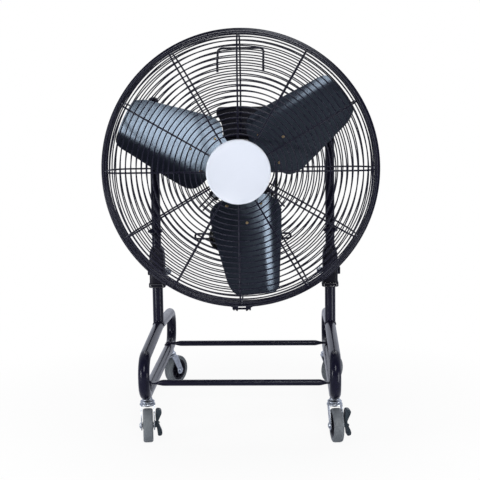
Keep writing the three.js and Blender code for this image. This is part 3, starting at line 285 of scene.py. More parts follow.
def make_coat_group():
    """Sprayed coat: slow drift of tone, handling haze in the gloss and a fine orange peel."""
    tree, given, out = new_group(
        "sprayed_coat",
        [("Vector", VECTOR, None), ("Base", COLOR, None), ("Drift", COLOR, None),
         ("Gloss", FLOAT, 0.2), ("Haze", FLOAT, 0.1), ("Peel", FLOAT, 0.1), ("Grain", FLOAT, 900.0)],
        [("Color", COLOR), ("Roughness", FLOAT), ("Normal", VECTOR)])
    n = Nodes(tree)
    vector = given.outputs["Vector"]
    drift = n.spread(n.noise(vector, scale=9.0, detail=4.0), 0.35, 0.7)
    n.feed(out.inputs["Color"], n.mix(drift, given.outputs["Base"], given.outputs["Drift"]))
    haze = n.spread(n.noise(vector, scale=34.0, detail=5.0, roughness=0.6), 0.38, 0.72)
    n.feed(out.inputs["Roughness"],
           n.math("ADD", given.outputs["Gloss"], n.math("MULTIPLY", haze, given.outputs["Haze"])))
    peel = n.noise(vector, given.outputs["Grain"], detail=2.0)
    n.feed(out.inputs["Normal"], n.bump(peel, given.outputs["Peel"], distance=0.0004))
    return tree


def make_dust_group():
    """Mask of the dust that settles on faces that look up, broken by noise."""
    tree, given, out = new_group(
        "settled_dust", [("Vector", VECTOR, None), ("Amount", FLOAT, 0.3)], [("Mask", FLOAT)])
    n = Nodes(tree)
    facing = n.add("ShaderNodeSeparateXYZ")
    n.feed(facing.inputs[0], n.add("ShaderNodeNewGeometry").outputs["Normal"])
    upward = n.spread(facing.outputs["Z"], 0.35, 1.0)
    patchy = n.spread(n.noise(given.outputs["Vector"], scale=60.0, detail=6.0, roughness=0.65), 0.35, 0.75)
    mask = n.math("MULTIPLY", n.math("MULTIPLY", upward, patchy), given.outputs["Amount"], clamp=True)
    n.feed(out.inputs["Mask"], mask)
    return tree


def make_grain_group():
    """Moulded skin: a fine spark-eroded grain with soft worn patches."""
    tree, given, out = new_group(
        "moulded_grain",
        [("Vector", VECTOR, None), ("Base", COLOR, None), ("Worn", COLOR, None), ("Scale", FLOAT, 1400.0),
         ("Depth", FLOAT, 0.2), ("Rough", FLOAT, 0.5)],
        [("Color", COLOR), ("Roughness", FLOAT), ("Normal", VECTOR)])
    n = Nodes(tree)
    vector = given.outputs["Vector"]
    grain = n.add("ShaderNodeTexVoronoi")
    n.feed(grain.inputs["Vector"], vector)
    n.feed(grain.inputs["Scale"], given.outputs["Scale"])
    worn = n.spread(n.noise(vector, scale=22.0, detail=5.0, roughness=0.6), 0.45, 0.75)
    n.feed(out.inputs["Color"], n.mix(worn, given.outputs["Base"], given.outputs["Worn"]))
    polish = n.math("MULTIPLY", worn, 0.14)
    n.feed(out.inputs["Roughness"], n.math("SUBTRACT", given.outputs["Rough"], polish))
    n.feed(out.inputs["Normal"], n.bump(grain.outputs["Distance"], given.outputs["Depth"], distance=0.0003))
    return tree


GROUPS = {
    "coat": make_coat_group(),
    "dust": make_dust_group(),
    "grain": make_grain_group(),
}


def new_material(name):
    """Material with one Principled shader; returns it, its node helper, shader and Object coordinates."""
    made = bpy.data.materials.new(name)
    made.use_nodes = True
    n = Nodes(made.node_tree)
    shader = made.node_tree.nodes["Principled BSDF"]
    place = n.add("ShaderNodeTexCoord").outputs["Object"]
    return made, n, shader, place


def use_group(n, name, **values):
    node = n.add("ShaderNodeGroup", node_tree=GROUPS[name])
    for label, value in values.items():
        n.feed(node.inputs[label], value)
    return node.outputs


DUST = rgb(0.20, 0.19, 0.18)
GRIME = rgb(0.05, 0.05, 0.05)


def sprayed(name, base, drift, gloss, haze, peel, dust, sheen=0.3, coat=0.0, grain=900.0,
            tint=rgb(1, 1, 1)):
    """Sprayed or dipped paint with a little settled dust."""
    made, n, shader, place = new_material(name)
    coated = use_group(n, "coat", Vector=place, Base=base, Drift=drift, Gloss=gloss, Haze=haze,
                       Peel=peel, Grain=grain)
    settled = use_group(n, "dust", Vector=place, Amount=dust)["Mask"]
    n.feed(shader.inputs["Base Color"], n.mix(settled, coated["Color"], DUST))
    dulled = n.math("MULTIPLY", settled, 0.5)
    n.feed(shader.inputs["Roughness"], n.math("ADD", coated["Roughness"], dulled))
    n.feed(shader.inputs["Normal"], coated["Normal"])
    shader.inputs["Specular IOR Level"].default_value = sheen
    shader.inputs["Specular Tint"].default_value = tint
    shader.inputs["Coat Weight"].default_value = coat
    shader.inputs["Coat Roughness"].default_value = 0.06
    return made


def moulded(name, base, worn, scale, depth, rough, sheen=0.22):
    """Injection-moulded plastic or rubber."""
    made, n, shader, place = new_material(name)
    skin = use_group(n, "grain", Vector=place, Base=base, Worn=worn, Scale=scale, Depth=depth,
                     Rough=rough)
    for label, socket in (("Base Color", "Color"), ("Roughness", "Roughness"), ("Normal", "Normal")):
        n.feed(shader.inputs[label], skin[socket])
    shader.inputs["Specular IOR Level"].default_value = sheen
    return made


def plated(name, bright, dull, rough, streak):
    """Plated or bare metal with drawn streaks and dull patches."""
    made, n, shader, place = new_material(name)
    stretch = n.add("ShaderNodeMapping")
    n.feed(stretch.inputs["Vector"], place)
    stretch.inputs["Scale"].default_value = (1.0, 1.0, 14.0)
    streaks = n.noise(stretch.outputs["Vector"], streak, detail=3.0)
    patches = n.spread(n.noise(place, scale=120.0, detail=5.0, roughness=0.6), 0.4, 0.7)
    unevenness = n.math("ADD", streaks, patches)
    n.feed(shader.inputs["Base Color"], n.mix(patches, bright, dull))
    n.feed(shader.inputs["Roughness"], n.spread(unevenness, 0.4, 1.5, rough, rough + 0.22))
    n.feed(shader.inputs["Normal"], n.bump(streaks, strength=0.08, distance=0.0003))
    shader.inputs["Metallic"].default_value = 1.0
    return made


def make_rubber():
    """Grey wheel rubber: floor grime gathers in speckles."""
    made, n, shader, place = new_material("grey_rubber")
    speckles = n.spread(n.noise(place, scale=260.0, detail=6.0, roughness=0.7), 0.52, 0.72)
    skin = use_group(n, "grain", Vector=place, Base=rgb(0.125, 0.140, 0.155),
                     Worn=rgb(0.155, 0.170, 0.185), Scale=1800.0, Depth=0.15, Rough=0.62)
    n.feed(shader.inputs["Base Color"], n.mix(n.math("MULTIPLY", speckles, 0.45), skin["Color"], GRIME))
    n.feed(shader.inputs["Roughness"], skin["Roughness"])
    n.feed(shader.inputs["Normal"], skin["Normal"])
    return made


COOL_TINT = rgb(0.88, 0.92, 1.0)

PAINT = sprayed("gloss_black_paint", rgb(0.006, 0.006, 0.016), rgb(0.009, 0.008, 0.020),
                gloss=0.18, haze=0.06, peel=0.005, dust=0.012, sheen=0.16, tint=COOL_TINT)
LACQUER = sprayed("black_lacquer", rgb(0.007, 0.007, 0.010), rgb(0.010, 0.010, 0.014),
                  gloss=0.12, haze=0.03, peel=0.004, dust=0.0, sheen=1.0, coat=1.0)
WIRE = sprayed("black_wire_coat", rgb(0.007, 0.007, 0.017), rgb(0.010, 0.009, 0.021),
               gloss=0.24, haze=0.10, peel=0.012, dust=0.012, sheen=0.20, coat=0.03, tint=COOL_TINT)
BLADE = sprayed("blade_enamel", rgb(0.006, 0.007, 0.012), rgb(0.008, 0.009, 0.016),
                gloss=0.15, haze=0.05, peel=0.006, dust=0.015, sheen=0.66, tint=rgb(0.64, 0.80, 1.0))
MOTOR = sprayed("motor_enamel", rgb(0.006, 0.006, 0.011), rgb(0.010, 0.010, 0.016),
                gloss=0.34, haze=0.15, peel=0.16, dust=0.10, sheen=0.25, grain=600.0)
BADGE = sprayed("badge_white", rgb(0.72, 0.76, 0.85), rgb(0.715, 0.755, 0.845),
                gloss=0.26, haze=0.01, peel=0.004, dust=0.0, sheen=0.3, grain=400.0)
PLASTIC = moulded("black_moulding", rgb(0.006, 0.006, 0.013), rgb(0.010, 0.010, 0.018),
                  scale=1500.0, depth=0.18, rough=0.46, sheen=0.14)
PEDAL = moulded("pedal_moulding", rgb(0.022, 0.032, 0.042), rgb(0.034, 0.046, 0.058),
                scale=1500.0, depth=0.16, rough=0.44)
JACKET = moulded("lead_jacket", rgb(0.010, 0.010, 0.011), rgb(0.018, 0.018, 0.020),
                 scale=2200.0, depth=0.1, rough=0.52)
MARKING = moulded("marking_white", rgb(0.8, 0.8, 0.8), rgb(0.7, 0.7, 0.7),
                  scale=1800.0, depth=0.05, rough=0.5)
ZINC = plated("zinc_plate", rgb(0.42, 0.45, 0.50), rgb(0.27, 0.29, 0.33), rough=0.32, streak=90.0)
BRASS = plated("rivet_brass", rgb(0.46, 0.34, 0.19), rgb(0.30, 0.22, 0.13), rough=0.30, streak=60.0)
RUBBER = make_rubber()

SLOTS = {
    PAINT: "black_paint", MOTOR: "black_paint", WIRE: "black_wire", BLADE: "blade_paint",
    BADGE: "badge_white", PLASTIC: "black_plastic", LACQUER: "black_plastic", JACKET: "black_plastic",
    PEDAL: "pedal_plastic", RUBBER: "grey_rubber", ZINC: "zinc",
}

# ---------------------------------------------------------------- shapes


class Shape:
    """Vertices and faces that grow piece by piece and become one mesh."""

    def __init__(self):
        self.points = []
        self.faces = []

    def add(self, points, faces):
        first = len(self.points)
        self.points += [Vector(p) for p in points]
        self.faces += [[first + i for i in face] for face in faces]
        return self

    def join(self, other, place=None):
        moved = other.points if place is None else [place @ p for p in other.points]
        return self.add(moved, other.faces)

    def moved(self, place):
        return Shape().join(self, place)

    def mesh(self, name):
        made = bpy.data.meshes.new(name)
        made.from_pydata([tuple(p) for p in self.points], [], self.faces)
        work = bmesh.new()
        work.from_mesh(made)
        bmesh.ops.remove_doubles(work, verts=work.verts, dist=1e-6)
        bmesh.ops.recalc_face_normals(work, faces=work.faces)
        work.to_mesh(made)
        work.free()
        return made


def grid_faces(rows, columns, wrap_rows=False, wrap_columns=False):
    faces = []
    for i in range(rows if wrap_rows else rows - 1):
        for j in range(columns if wrap_columns else columns - 1):
            a, b = i * columns, ((i + 1) % rows) * columns
            faces.append([a + j, a + (j + 1) % columns, b + (j + 1) % columns, b + j])
    return faces


def turned(profile, steps=64, start=0.0, sweep=2 * math.pi):
    """Revolves (radius, height) pairs about Z; a part turn gets flat ends."""
    whole = sweep > 2 * math.pi - 1e-9
    count = steps if whole else steps + 1
    shape = Shape()
    points = []
    for i in range(count):
        angle = start + sweep * i / steps
        points += [(r * math.cos(angle), r * math.sin(angle), z) for r, z in profile]
    faces = grid_faces(count, len(profile), wrap_rows=whole)
    shape.add(points, faces)
    if not whole:
        last = (count - 1) * len(profile)
        shape.faces.append(list(range(len(profile) - 1)))
        shape.faces.append([last + i for i in reversed(range(len(profile) - 1))])
    return shape


def along_path(points, closed=False):
    """Frames along a path that turn as little as they can: (point, side, up) at each station."""
    path = np.array([tuple(p) for p in points], float)
    ahead = np.roll(path, -1, 0) - path
    behind = path - np.roll(path, 1, 0)
    if not closed:
        ahead[-1] = behind[-1]
        behind[0] = ahead[0]
    unit = lambda rows: rows / np.linalg.norm(rows, axis=1)[:, None]
    tangents = unit(unit(ahead) + unit(behind))
    start = np.eye(3)[np.argmin(abs(tangents[0]))]
    side = start - tangents[0] * (start @ tangents[0])
    sides = []
    for tangent in tangents:
        side = side - tangent * (side @ tangent)
        side /= np.linalg.norm(side)
        sides.append(side.copy())
    return path, np.array(sides), np.cross(tangents, np.array(sides))


def wire(points, radius, sides=14, closed=False):
    """Round bar along a path, with flat ends where it is open."""
    path, across, up = along_path(points, closed)
    angles = np.linspace(0, 2 * math.pi, sides, endpoint=False)
    ring = np.cos(angles)[None, :, None] * across[:, None] + np.sin(angles)[None, :, None] * up[:, None]
    shape = Shape()
    shape.add((path[:, None] + radius * ring).reshape(-1, 3),
              grid_faces(len(path), sides, wrap_rows=closed, wrap_columns=True))
    if not closed:
        last = (len(path) - 1) * sides
        shape.faces.append(list(range(sides)))
        shape.faces.append([last + i for i in range(sides)])
    return shape


def bent(corners, radius, steps, closed=False):
    """Corner points joined by straight runs and round bends."""
    corners = [Vector(c) for c in corners]
    count = len(corners)
    stations = []
    for i, corner in enumerate(corners):
        if not closed and i in (0, count - 1):
            stations.append(corner)
            continue
        back = (corners[i - 1] - corner).normalized()
        on = (corners[(i + 1) % count] - corner).normalized()
        half = back.angle(on) / 2
        centre = corner + (back + on).normalized() * radius / math.sin(half)
        start = corner + back * radius / math.tan(half) - centre
        axis = on.cross(back).normalized()
        for k in range(steps + 1):
            turn = Matrix.Rotation((math.pi - 2 * half) * k / steps, 3, axis)
            stations.append(centre + turn @ start)
    return stations


def loft(sections):
    """Closed skin through sections of equally many points, with flat ends."""
    columns = len(sections[0])
    shape = Shape()
    shape.add([p for section in sections for p in section],
              grid_faces(len(sections), columns, wrap_columns=True))
    last = (len(sections) - 1) * columns
    shape.faces.append(list(range(columns)))
    shape.faces.append([last + i for i in range(columns)])
    return shape


def prism(outline, low, high):
    return loft([[(x, y, z) for x, y in outline] for z in (low, high)])


def slab(outline, low, high):
    """Outline in (x, z), thick along Y."""
    return loft([[(x, y, z) for x, z in outline] for y in (low, high)])


def block(x0, x1, y0, y1, z0, z1):
    return prism([(x0, y0), (x1, y0), (x1, y1), (x0, y1)], z0, z1)


def arc(centre, radius, start, end, steps):
    angles = [math.radians(start + (end - start) * k / steps) for k in range(steps + 1)]
    return [(centre[0] + radius * math.cos(a), centre[1] + radius * math.sin(a)) for a in angles]


def quadratic(start, control, end, steps):
    parts = [k / steps for k in range(steps + 1)]
    return [tuple((1 - t) ** 2 * a + 2 * t * (1 - t) * b + t * t * c
                  for a, b, c in zip(start, control, end)) for t in parts]


def rounded_box_outline(x0, x1, y0, y1, corner, steps=6):
    return (arc((x1 - corner, y1 - corner), corner, 0, 90, steps)
            + arc((x0 + corner, y1 - corner), corner, 90, 180, steps)
            + arc((x0 + corner, y0 + corner), corner, 180, 270, steps)
            + arc((x1 - corner, y0 + corner), corner, 270, 360, steps))


def rod(radius, low, high, steps=24):
    """Plain round bar or washer about Z."""
    return turned([(0, low), (radius, low), (radius, high), (0, high)], steps)


def hexagon(across, thickness):
    """Hexagon head or nut about Z, from 0 to its thickness, with its corners chamfered."""
    flat = across / 2
    steps = 48
    angles = [math.radians(360 / steps * k) for k in range(steps)]
    reach = [flat / math.cos((a + math.pi / 6) % (math.pi / 3) - math.pi / 6) for a in angles]
    ring = lambda radii, heights: [(r * math.cos(a), r * math.sin(a), z)
                                   for a, r, z in zip(angles, radii, heights)]
    drop = [(r - flat) * 0.6 for r in reach]
    crown = [flat * 0.95] * steps
    top = [thickness - d for d in drop]
    return loft([ring(crown, [0.0] * steps), ring(reach, drop), ring(reach, top),
                 ring(crown, [thickness] * steps)])


def thread(radius, low, high, pitch=0.0012):
    """Threaded stub about Z, drawn as closed grooves."""
    root = radius - pitch * 0.35
    profile = [(0, low)]
    z = low
    while z < high - pitch:
        profile += [(root, z), (radius, z + pitch * 0.5)]
        z += pitch
    profile += [(root, z), (radius * 0.7, high), (0, high)]
    return turned(profile, 24)


def dome(radius, height, low=0.0, steps=6):
    """Profile of a round head from its rim to its crown."""
    turns = [math.radians(90 * k / steps) for k in range(steps + 1)]
    return [(radius * math.cos(t), low + height * math.sin(t)) for t in turns[:-1]] + [(0, low + height)]


AIM_X = Matrix.Rotation(math.pi / 2, 4, "Y")      # turns +Z to +X
AIM_Y = Matrix.Rotation(-math.pi / 2, 4, "X")     # turns +Z to +Y
FLIP_X = Matrix.Rotation(math.pi, 4, "Z")         # turns +X to -X
FLIP_Z = Matrix.Rotation(math.pi, 4, "Y")         # turns +Z to -Z


def at(x, y, z):
    return Matrix.Translation((x, y, z))


# ---------------------------------------------------------------- pieces


FACET_ANGLE = 32      # degrees from which an edge stays sharp


def piece(name, shape, body, material, replaces=(), place=None, bevel=0.0, sharp=FACET_ANGLE, slot=None):
    """Mesh object at the origin that rides on a body; a slot is looked up from the material unless one is
    given, but it is not put on the object.
    """
    mesh = shape.mesh(name) if isinstance(shape, Shape) else shape
    if place is not None:
        mesh.transform(place)
    mesh.materials.clear()
    mesh.materials.append(material)
    mesh.shade_smooth()
    mesh.set_sharp_from_angle(angle=math.radians(sharp))
    made = new_object(name, mesh)
    if bevel:
        soften = made.modifiers.new("soft_edges", "BEVEL")
        soften.width = bevel
        soften.segments = 2
        soften.limit_method = "ANGLE"
        soften.angle_limit = math.radians(FACET_ANGLE)
        soften.harden_normals = True
    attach(made, body)
    slot = slot or SLOTS.get(material)
    if replaces:
        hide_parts(*replaces)
    return made


# ---------------------------------------------------------------- repeats made by geometry nodes


class Growth:
    """Geometry node tree with named inputs, ending in Realize Instances and Set Material."""

    def __init__(self, name, inputs):
        self.tree = bpy.data.node_groups.new(name, "GeometryNodeTree")
        face = self.tree.interface
        self.ids = {}
        sockets = [("Geometry", "NodeSocketGeometry"), *inputs, ("Material", "NodeSocketMaterial")]
        for label, kind in sockets:
            self.ids[label] = face.new_socket(label, in_out="INPUT", socket_type=kind).identifier
        face.new_socket("Geometry", in_out="OUTPUT", socket_type="NodeSocketGeometry")
        self.given = self.tree.nodes.new("NodeGroupInput").outputs

    def add(self, kind, settings=None, **links):
        node = self.tree.nodes.new(kind)
        for key, value in (settings or {}).items():
            setattr(node, key, value)
        for label, value in links.items():
            socket = node.inputs[label.replace("_", " ")]
            if isinstance(value, bpy.types.NodeSocket):
                self.tree.links.new(value, socket)
            else:
                socket.default_value = value
        return node.outputs

    def finish(self, geometry):
        whole = self.add("GeometryNodeRealizeInstances", Geometry=geometry)
        dressed = self.add("GeometryNodeSetMaterial", Geometry=whole["Geometry"],
                           Material=self.given["Material"])
        out = self.tree.nodes.new("NodeGroupOutput")
        self.tree.links.new(dressed["Geometry"], out.inputs["Geometry"])
        return self

    def grow(self, name, seed_mesh, **values):
        """Runs the tree on a seed mesh and returns the plain mesh that grows from it."""
        carrier = new_object("seed_" + name, seed_mesh)
        modifier = carrier.modifiers.new("growth", "NODES")
        modifier.node_group = self.tree
        for label, value in values.items():
            modifier[self.ids[label.replace("_", " ")]] = value
        bpy.context.view_layer.update()
        ready = carrier.evaluated_get(bpy.context.evaluated_depsgraph_get())
        mesh = bpy.data.meshes.new_from_object(ready)
        mesh.name = name
        bpy.data.objects.remove(carrier)
        return mesh


def swept_wire(growth, curves):
    """Sweeps a round section of the tree's wire radius along curves."""
    section = growth.add("GeometryNodeCurvePrimitiveCircle", Radius=growth.given["Wire Radius"],
                         Resolution=growth.given["Sides"])
    return growth.add("GeometryNodeCurveToMesh", Curve=curves, Profile_Curve=section["Curve"],
                      Fill_Caps=True)["Mesh"]


def make_ring_nest():
    """Rings round Z: one for each seed point, with the point's ring_radius."""
    g = Growth("ring_nest", [("Wire Radius", "NodeSocketFloat"), ("Sides", "NodeSocketInt"),
                             ("Steps", "NodeSocketInt")])
    circle = g.add("GeometryNodeCurvePrimitiveCircle", Radius=1.0, Resolution=g.given["Steps"])
    radius = g.add("GeometryNodeInputNamedAttribute", {"data_type": "FLOAT"}, Name="ring_radius")
    scale = g.add("ShaderNodeCombineXYZ", X=radius["Attribute"], Y=radius["Attribute"], Z=1.0)
    rings = g.add("GeometryNodeInstanceOnPoints", Points=g.given["Geometry"], Instance=circle["Curve"],
                  Scale=scale["Vector"])
    curves = g.add("GeometryNodeRealizeInstances", Geometry=rings["Instances"])
    return g.finish(swept_wire(g, curves["Geometry"]))


def spokes_round_z(growth, instance):
    """Copies of the geometry turned evenly round Z."""
    hub = growth.add("GeometryNodePoints", Count=growth.given["Count"])
    index = growth.add("GeometryNodeInputIndex")
    step = growth.add("ShaderNodeMath", {"operation": "DIVIDE"})
    growth.tree.links.new(index["Index"], step[0].node.inputs[0])
    growth.tree.links.new(growth.given["Count"], step[0].node.inputs[1])
    angle = growth.add("ShaderNodeMath", {"operation": "MULTIPLY"})
    growth.tree.links.new(step[0], angle[0].node.inputs[0])
    angle[0].node.inputs[1].default_value = 2 * math.pi
    turn = growth.add("ShaderNodeCombineXYZ", Z=angle[0])
    return growth.add("GeometryNodeInstanceOnPoints", Points=hub["Points"], Instance=instance,
                      Rotation=turn["Vector"])["Instances"]


def make_spoke_wheel():
    """Wires along the seed's edges, repeated evenly round Z."""
    g = Growth("spoke_wheel", [("Count", "NodeSocketInt"), ("Wire Radius", "NodeSocketFloat"),
                               ("Sides", "NodeSocketInt")])
    line = g.add("GeometryNodeMeshToCurve", Mesh=g.given["Geometry"])
    curves = g.add("GeometryNodeRealizeInstances", Geometry=spokes_round_z(g, line["Curve"]))
    return g.finish(swept_wire(g, curves["Geometry"]))


def make_turned_copies():
    """The seed's faces, repeated evenly round Z."""
    g = Growth("turned_copies", [("Count", "NodeSocketInt")])
    return g.finish(spokes_round_z(g, g.given["Geometry"]))


def make_scatter():
    """A small piece on each seed point, its Z along the point's facing."""
    g = Growth("scatter", [("Piece", "NodeSocketObject")])
    small = g.add("GeometryNodeObjectInfo", Object=g.given["Piece"])
    facing = g.add("GeometryNodeInputNamedAttribute", {"data_type": "FLOAT_VECTOR"}, Name="facing")
    lean = g.add("FunctionNodeAlignRotationToVector", {"axis": "Z"}, Vector=facing["Attribute"])
    return g.finish(g.add("GeometryNodeInstanceOnPoints", Points=g.given["Geometry"],
                          Instance=small["Geometry"], Rotation=lean["Rotation"])["Instances"])


RING_NEST = make_ring_nest()
SPOKE_WHEEL = make_spoke_wheel()
TURNED_COPIES = make_turned_copies()
SCATTER = make_scatter()


def seed_points(points, name, kind, values):
    """Loose points with one named attribute."""
    mesh = bpy.data.meshes.new("seed_points")
    mesh.from_pydata([tuple(p) for p in points], [], [])
    attribute = mesh.attributes.new(name, kind, "POINT")
    field = "vector" if kind == "FLOAT_VECTOR" else "value"
    attribute.data.foreach_set(field, np.array(values, np.float32).ravel())
    return mesh


def seed_lines(paths):
    mesh = bpy.data.meshes.new("seed_lines")
    points, edges = [], []
    for path in paths:
        first = len(points)
        points += [tuple(p) for p in path]
        edges += [(first + i, first + i + 1) for i in range(len(path) - 1)]
    mesh.from_pydata(points, edges, [])
    return mesh


def scattered(name, small, places, material):
    """Mesh of one small shape at each (point, facing)."""
    model = new_object("model_" + name, small.mesh("model_" + name))
    model.data.shade_smooth()
    model.data.set_sharp_from_angle(angle=math.radians(FACET_ANGLE))
    seed = seed_points([p for p, _ in places], "facing", "FLOAT_VECTOR", [f for _, f in places])
    mesh = SCATTER.grow(name, seed, Piece=model, Material=material)
    bpy.data.objects.remove(model)
    return mesh


def round_z(name, shape, count, material):
    return TURNED_COPIES.grow(name, shape.mesh("seed_" + name), Count=count, Material=material)


# ---------------------------------------------------------------- lead

LEAD_DEPTH = -0.09935
HANK_NEAR = -0.08585
HANK_FAR = -0.09345
HANK_ARC_X = 0.045
HANK_OUTER_R = 0.0362
LAYER_PITCH = 0.0076
HANK_TURNS = 4
ARC_STEPS = 18
RUN_STEPS = 6
PLUG_X = 0.0622
PLUG_TOP = -0.232
PLUG_L = 0.038
PIN_HALF_SPACING = 0.0095
LEAD_EXIT = Vector((0.0543, GLAND_Y, LEAD_DEPTH))
LEAD_POINTS = [
    (0.0583, 0.1, LEAD_DEPTH), (0.0643, 0.099, LEAD_DEPTH), (0.0733, 0.093, LEAD_DEPTH),
    (0.0813, 0.080, LEAD_DEPTH), (0.0843, 0.062, -0.09835), (0.0833, 0.038, -0.09635),
    (0.0832, 0.0, -0.09335), (0.0812, -0.040, -0.08985), (0.0812, -0.080, -0.08685),
    (0.0812, -0.115, HANK_NEAR), (0.0812, -0.1447, HANK_NEAR), (0.0812, -0.1587, HANK_NEAR),
]
TAIL_POINTS = [
    (0.0812, -0.1783, HANK_FAR), (0.0806, -0.1833, HANK_FAR), (0.0772, -0.1933, HANK_FAR),
    (0.0682, -0.2073, HANK_FAR), (0.0617, -0.2203, HANK_FAR), (PLUG_X, -0.2317, HANK_FAR),
]


def hank_point(turn):
    """Place on the hank after a number of turns: inwards in the near layer, outwards in the far one."""
    radius = HANK_OUTER_R - LAYER_PITCH * min(turn, HANK_TURNS - turn)
    climb = min(max((turn - HANK_TURNS / 2) / 0.5 + 0.5, 0), 1)
    depth = HANK_NEAR + (HANK_FAR - HANK_NEAR) * climb
    steps = 2 * (ARC_STEPS + RUN_STEPS)
    step = round((turn % 1) * steps) % steps
    quarter = ARC_STEPS // 2
    if step > quarter and step < quarter + RUN_STEPS:
        share = (step - quarter) / RUN_STEPS
        return Vector((HANK_ARC_X * (1 - 2 * share), HANK_Y - radius, depth))
    if step > quarter + RUN_STEPS + ARC_STEPS and step < quarter + 2 * RUN_STEPS + ARC_STEPS:
        share = (step - quarter - RUN_STEPS - ARC_STEPS) / RUN_STEPS
        return Vector((HANK_ARC_X * (2 * share - 1), HANK_Y + radius, depth))
    left = quarter + RUN_STEPS <= step <= quarter + RUN_STEPS + ARC_STEPS
    turned_steps = step - (RUN_STEPS if left else 2 * RUN_STEPS if step > quarter else 0)
    angle = -math.pi * turned_steps / ARC_STEPS
    side = -1 if left else 1
    return Vector((side * HANK_ARC_X + radius * math.cos(angle), HANK_Y + radius * math.sin(angle), depth))


def smooth_through(points, steps):
    """Smooth line through points, with a number of steps between neighbours."""
    points = [Vector(p) for p in points]
    ends = [points[0] * 2 - points[1], *points, points[-1] * 2 - points[-2]]
    line = []
    for a, b, c, d in zip(ends, ends[1:], ends[2:], ends[3:]):
        for k in range(steps):
            t = k / steps
            line.append(0.5 * (2 * b + (c - a) * t + (2 * a - 5 * b + 4 * c - d) * t * t
                               + (3 * b - a - 3 * c + d) * t ** 3))
    return line + [points[-1]]


def lead_route():
    """The lead in fan space: gland, drop, hank and tail down to the plug."""
    steps = HANK_TURNS * 2 * (ARC_STEPS + RUN_STEPS)
    loops = [hank_point(k * HANK_TURNS / steps) for k in range(steps + 1)]
    return [LEAD_EXIT, *smooth_through(LEAD_POINTS, 3), *loops, *smooth_through(TAIL_POINTS, 4)]


def make_plug():
    """Moulded round-pin plug, hanging with its pins down; shaped about Z with the pins at the low end."""
    body = [(0, 0), (0.0146, 0), (0.0166, 0.0012), (0.0175, 0.0034), (0.0175, 0.0135), (0.0160, 0.0175),
            (0.0130, 0.0225), (0.0092, 0.0300), (0.0080, 0.0360), (0.0068, PLUG_L), (0, PLUG_L)]
    shape = turned(body, 48).moved(Matrix.Diagonal((1, 0.6, 1, 1)))
    grips = Shape()
    for k in range(4):
        low = 0.0045 + 0.0026 * k
        grips.join(block(-0.0065, 0.0065, -0.0110, 0.0110, low, low + 0.0011))
    stand = FAN @ at(PLUG_X, PLUG_TOP - PLUG_L, HANK_FAR) @ Matrix.Rotation(-math.pi / 2, 4, "X")
    pins = Shape()
    pin = turned([(0, -0.019), (0.0012, -0.019), (0.0022, -0.0178), (0.0024, -0.016), (0.0024, 0.001),
                  (0, 0.001)], 24)
    for side in (-1, 1):
        pins.join(pin, at(side * PIN_HALF_SPACING, 0, 0))
    plug = piece("plug_body", shape.join(grips), "head", JACKET, ["cord_plug"], stand, bevel=0.0004)
    return [plug, piece("plug_pins", pins, "head", ZINC, place=stand)]


def make_lead():
    route = [FAN @ p for p in lead_route()]
    shape = wire(route, CORD_D / 2, 16)
    made = piece("mains_lead", shape, "head", JACKET, ["cord_lead", "cord_hank", "cord_tail"],
                 sharp=60, slot="cord_black")
    make_plug()


make_camera()
make_lead()

# ---------------------------------------------------------------- cart


def frame_path(x):
    corners = [(x, -LEG_Y, FRAME_LOW_Z), (x, -LEG_Y, LEG_TOP_Z), (x, 0, PEAK_Z), (x, LEG_Y, LEG_TOP_Z),
               (x, LEG_Y, FRAME_LOW_Z)]
    return bent(corners, FRAME_BEND_R, 12, closed=True)


def weld_bead(x):
    """Bead where the upright is welded astride the ridge."""
    line = []
    steps = 48
    for k in range(steps):
        angle = 2 * math.pi * k / steps
        aside = UPRIGHT_R * math.cos(angle)
        drop = math.sqrt(max(FRAME_R ** 2 - aside ** 2, 0))
        line.append((x + aside * 1.02, UPRIGHT_R * math.sin(angle) * 1.02, PEAK_Z + drop + 0.0004))
    return wire(line, 0.0016, 8, closed=True)


def swivel_race():
    """Fixed half of a caster's swivel about Z: pin, pressed race and boss."""
    return turned([(0, 0.0737), (0.0060, 0.0737), (0.0072, 0.0745), (0.0075, 0.0772), (0.0050, 0.0772),
                   (0.0050, 0.0843), (0.0152, 0.0843), (0.0160, 0.0852), (0.0159, 0.0866), (0.0146, 0.0880),
                   (0.0122, 0.0893), (0.0112, 0.0912), (0.0105, 0.0945), (0.0100, 0.0985), (0, 0.0985)], 48)


def cross_bar():
    """Tube whose ends are pressed flat and lie on the lower frame tubes."""
    wrap = FRAME_R + SEAT + BAR_FLAT_T / 2
    end = SIDE_X + FRAME_R * 0.85
    flat_from = SIDE_X - FRAME_R * 0.8
    round_from = end - BAR_FLAT_W / 2
    half = [flat_from - BAR_TAPER + BAR_TAPER * k / 10 for k in range(11)]
    half += [flat_from + (round_from - flat_from) * k / 4 for k in range(1, 5)]
    half += [round_from + BAR_FLAT_W / 2 * math.sin(math.radians(90 * k / 8)) for k in range(1, 8)]
    half.append(end - 1e-5)
    sections = []
    for x in [-h for h in reversed(half)] + half:
        share = min(max((abs(x) - flat_from + BAR_TAPER) / BAR_TAPER, 0), 1)
        share = share * share * (3 - 2 * share)
        wide = BAR_R + (BAR_FLAT_W / 2 - BAR_R) * share
        thick = BAR_R + (BAR_FLAT_T / 2 - BAR_R) * share
        if abs(x) > round_from:
            wide = math.sqrt(max((BAR_FLAT_W / 2) ** 2 - (abs(x) - round_from) ** 2, 1e-8))
        past = max(abs(x) - SIDE_X, 0)
        level = math.sqrt(wrap ** 2 - past ** 2)
        power = 1 - 0.5 * share
        section = []
        for k in range(24):
            c, s = math.cos(math.radians(15 * k)), math.sin(math.radians(15 * k))
            section.append((x, wide * math.copysign(abs(c) ** power, c),
                            level + thick * math.copysign(abs(s) ** power, s)))
        sections.append(section)
    return loft(sections)


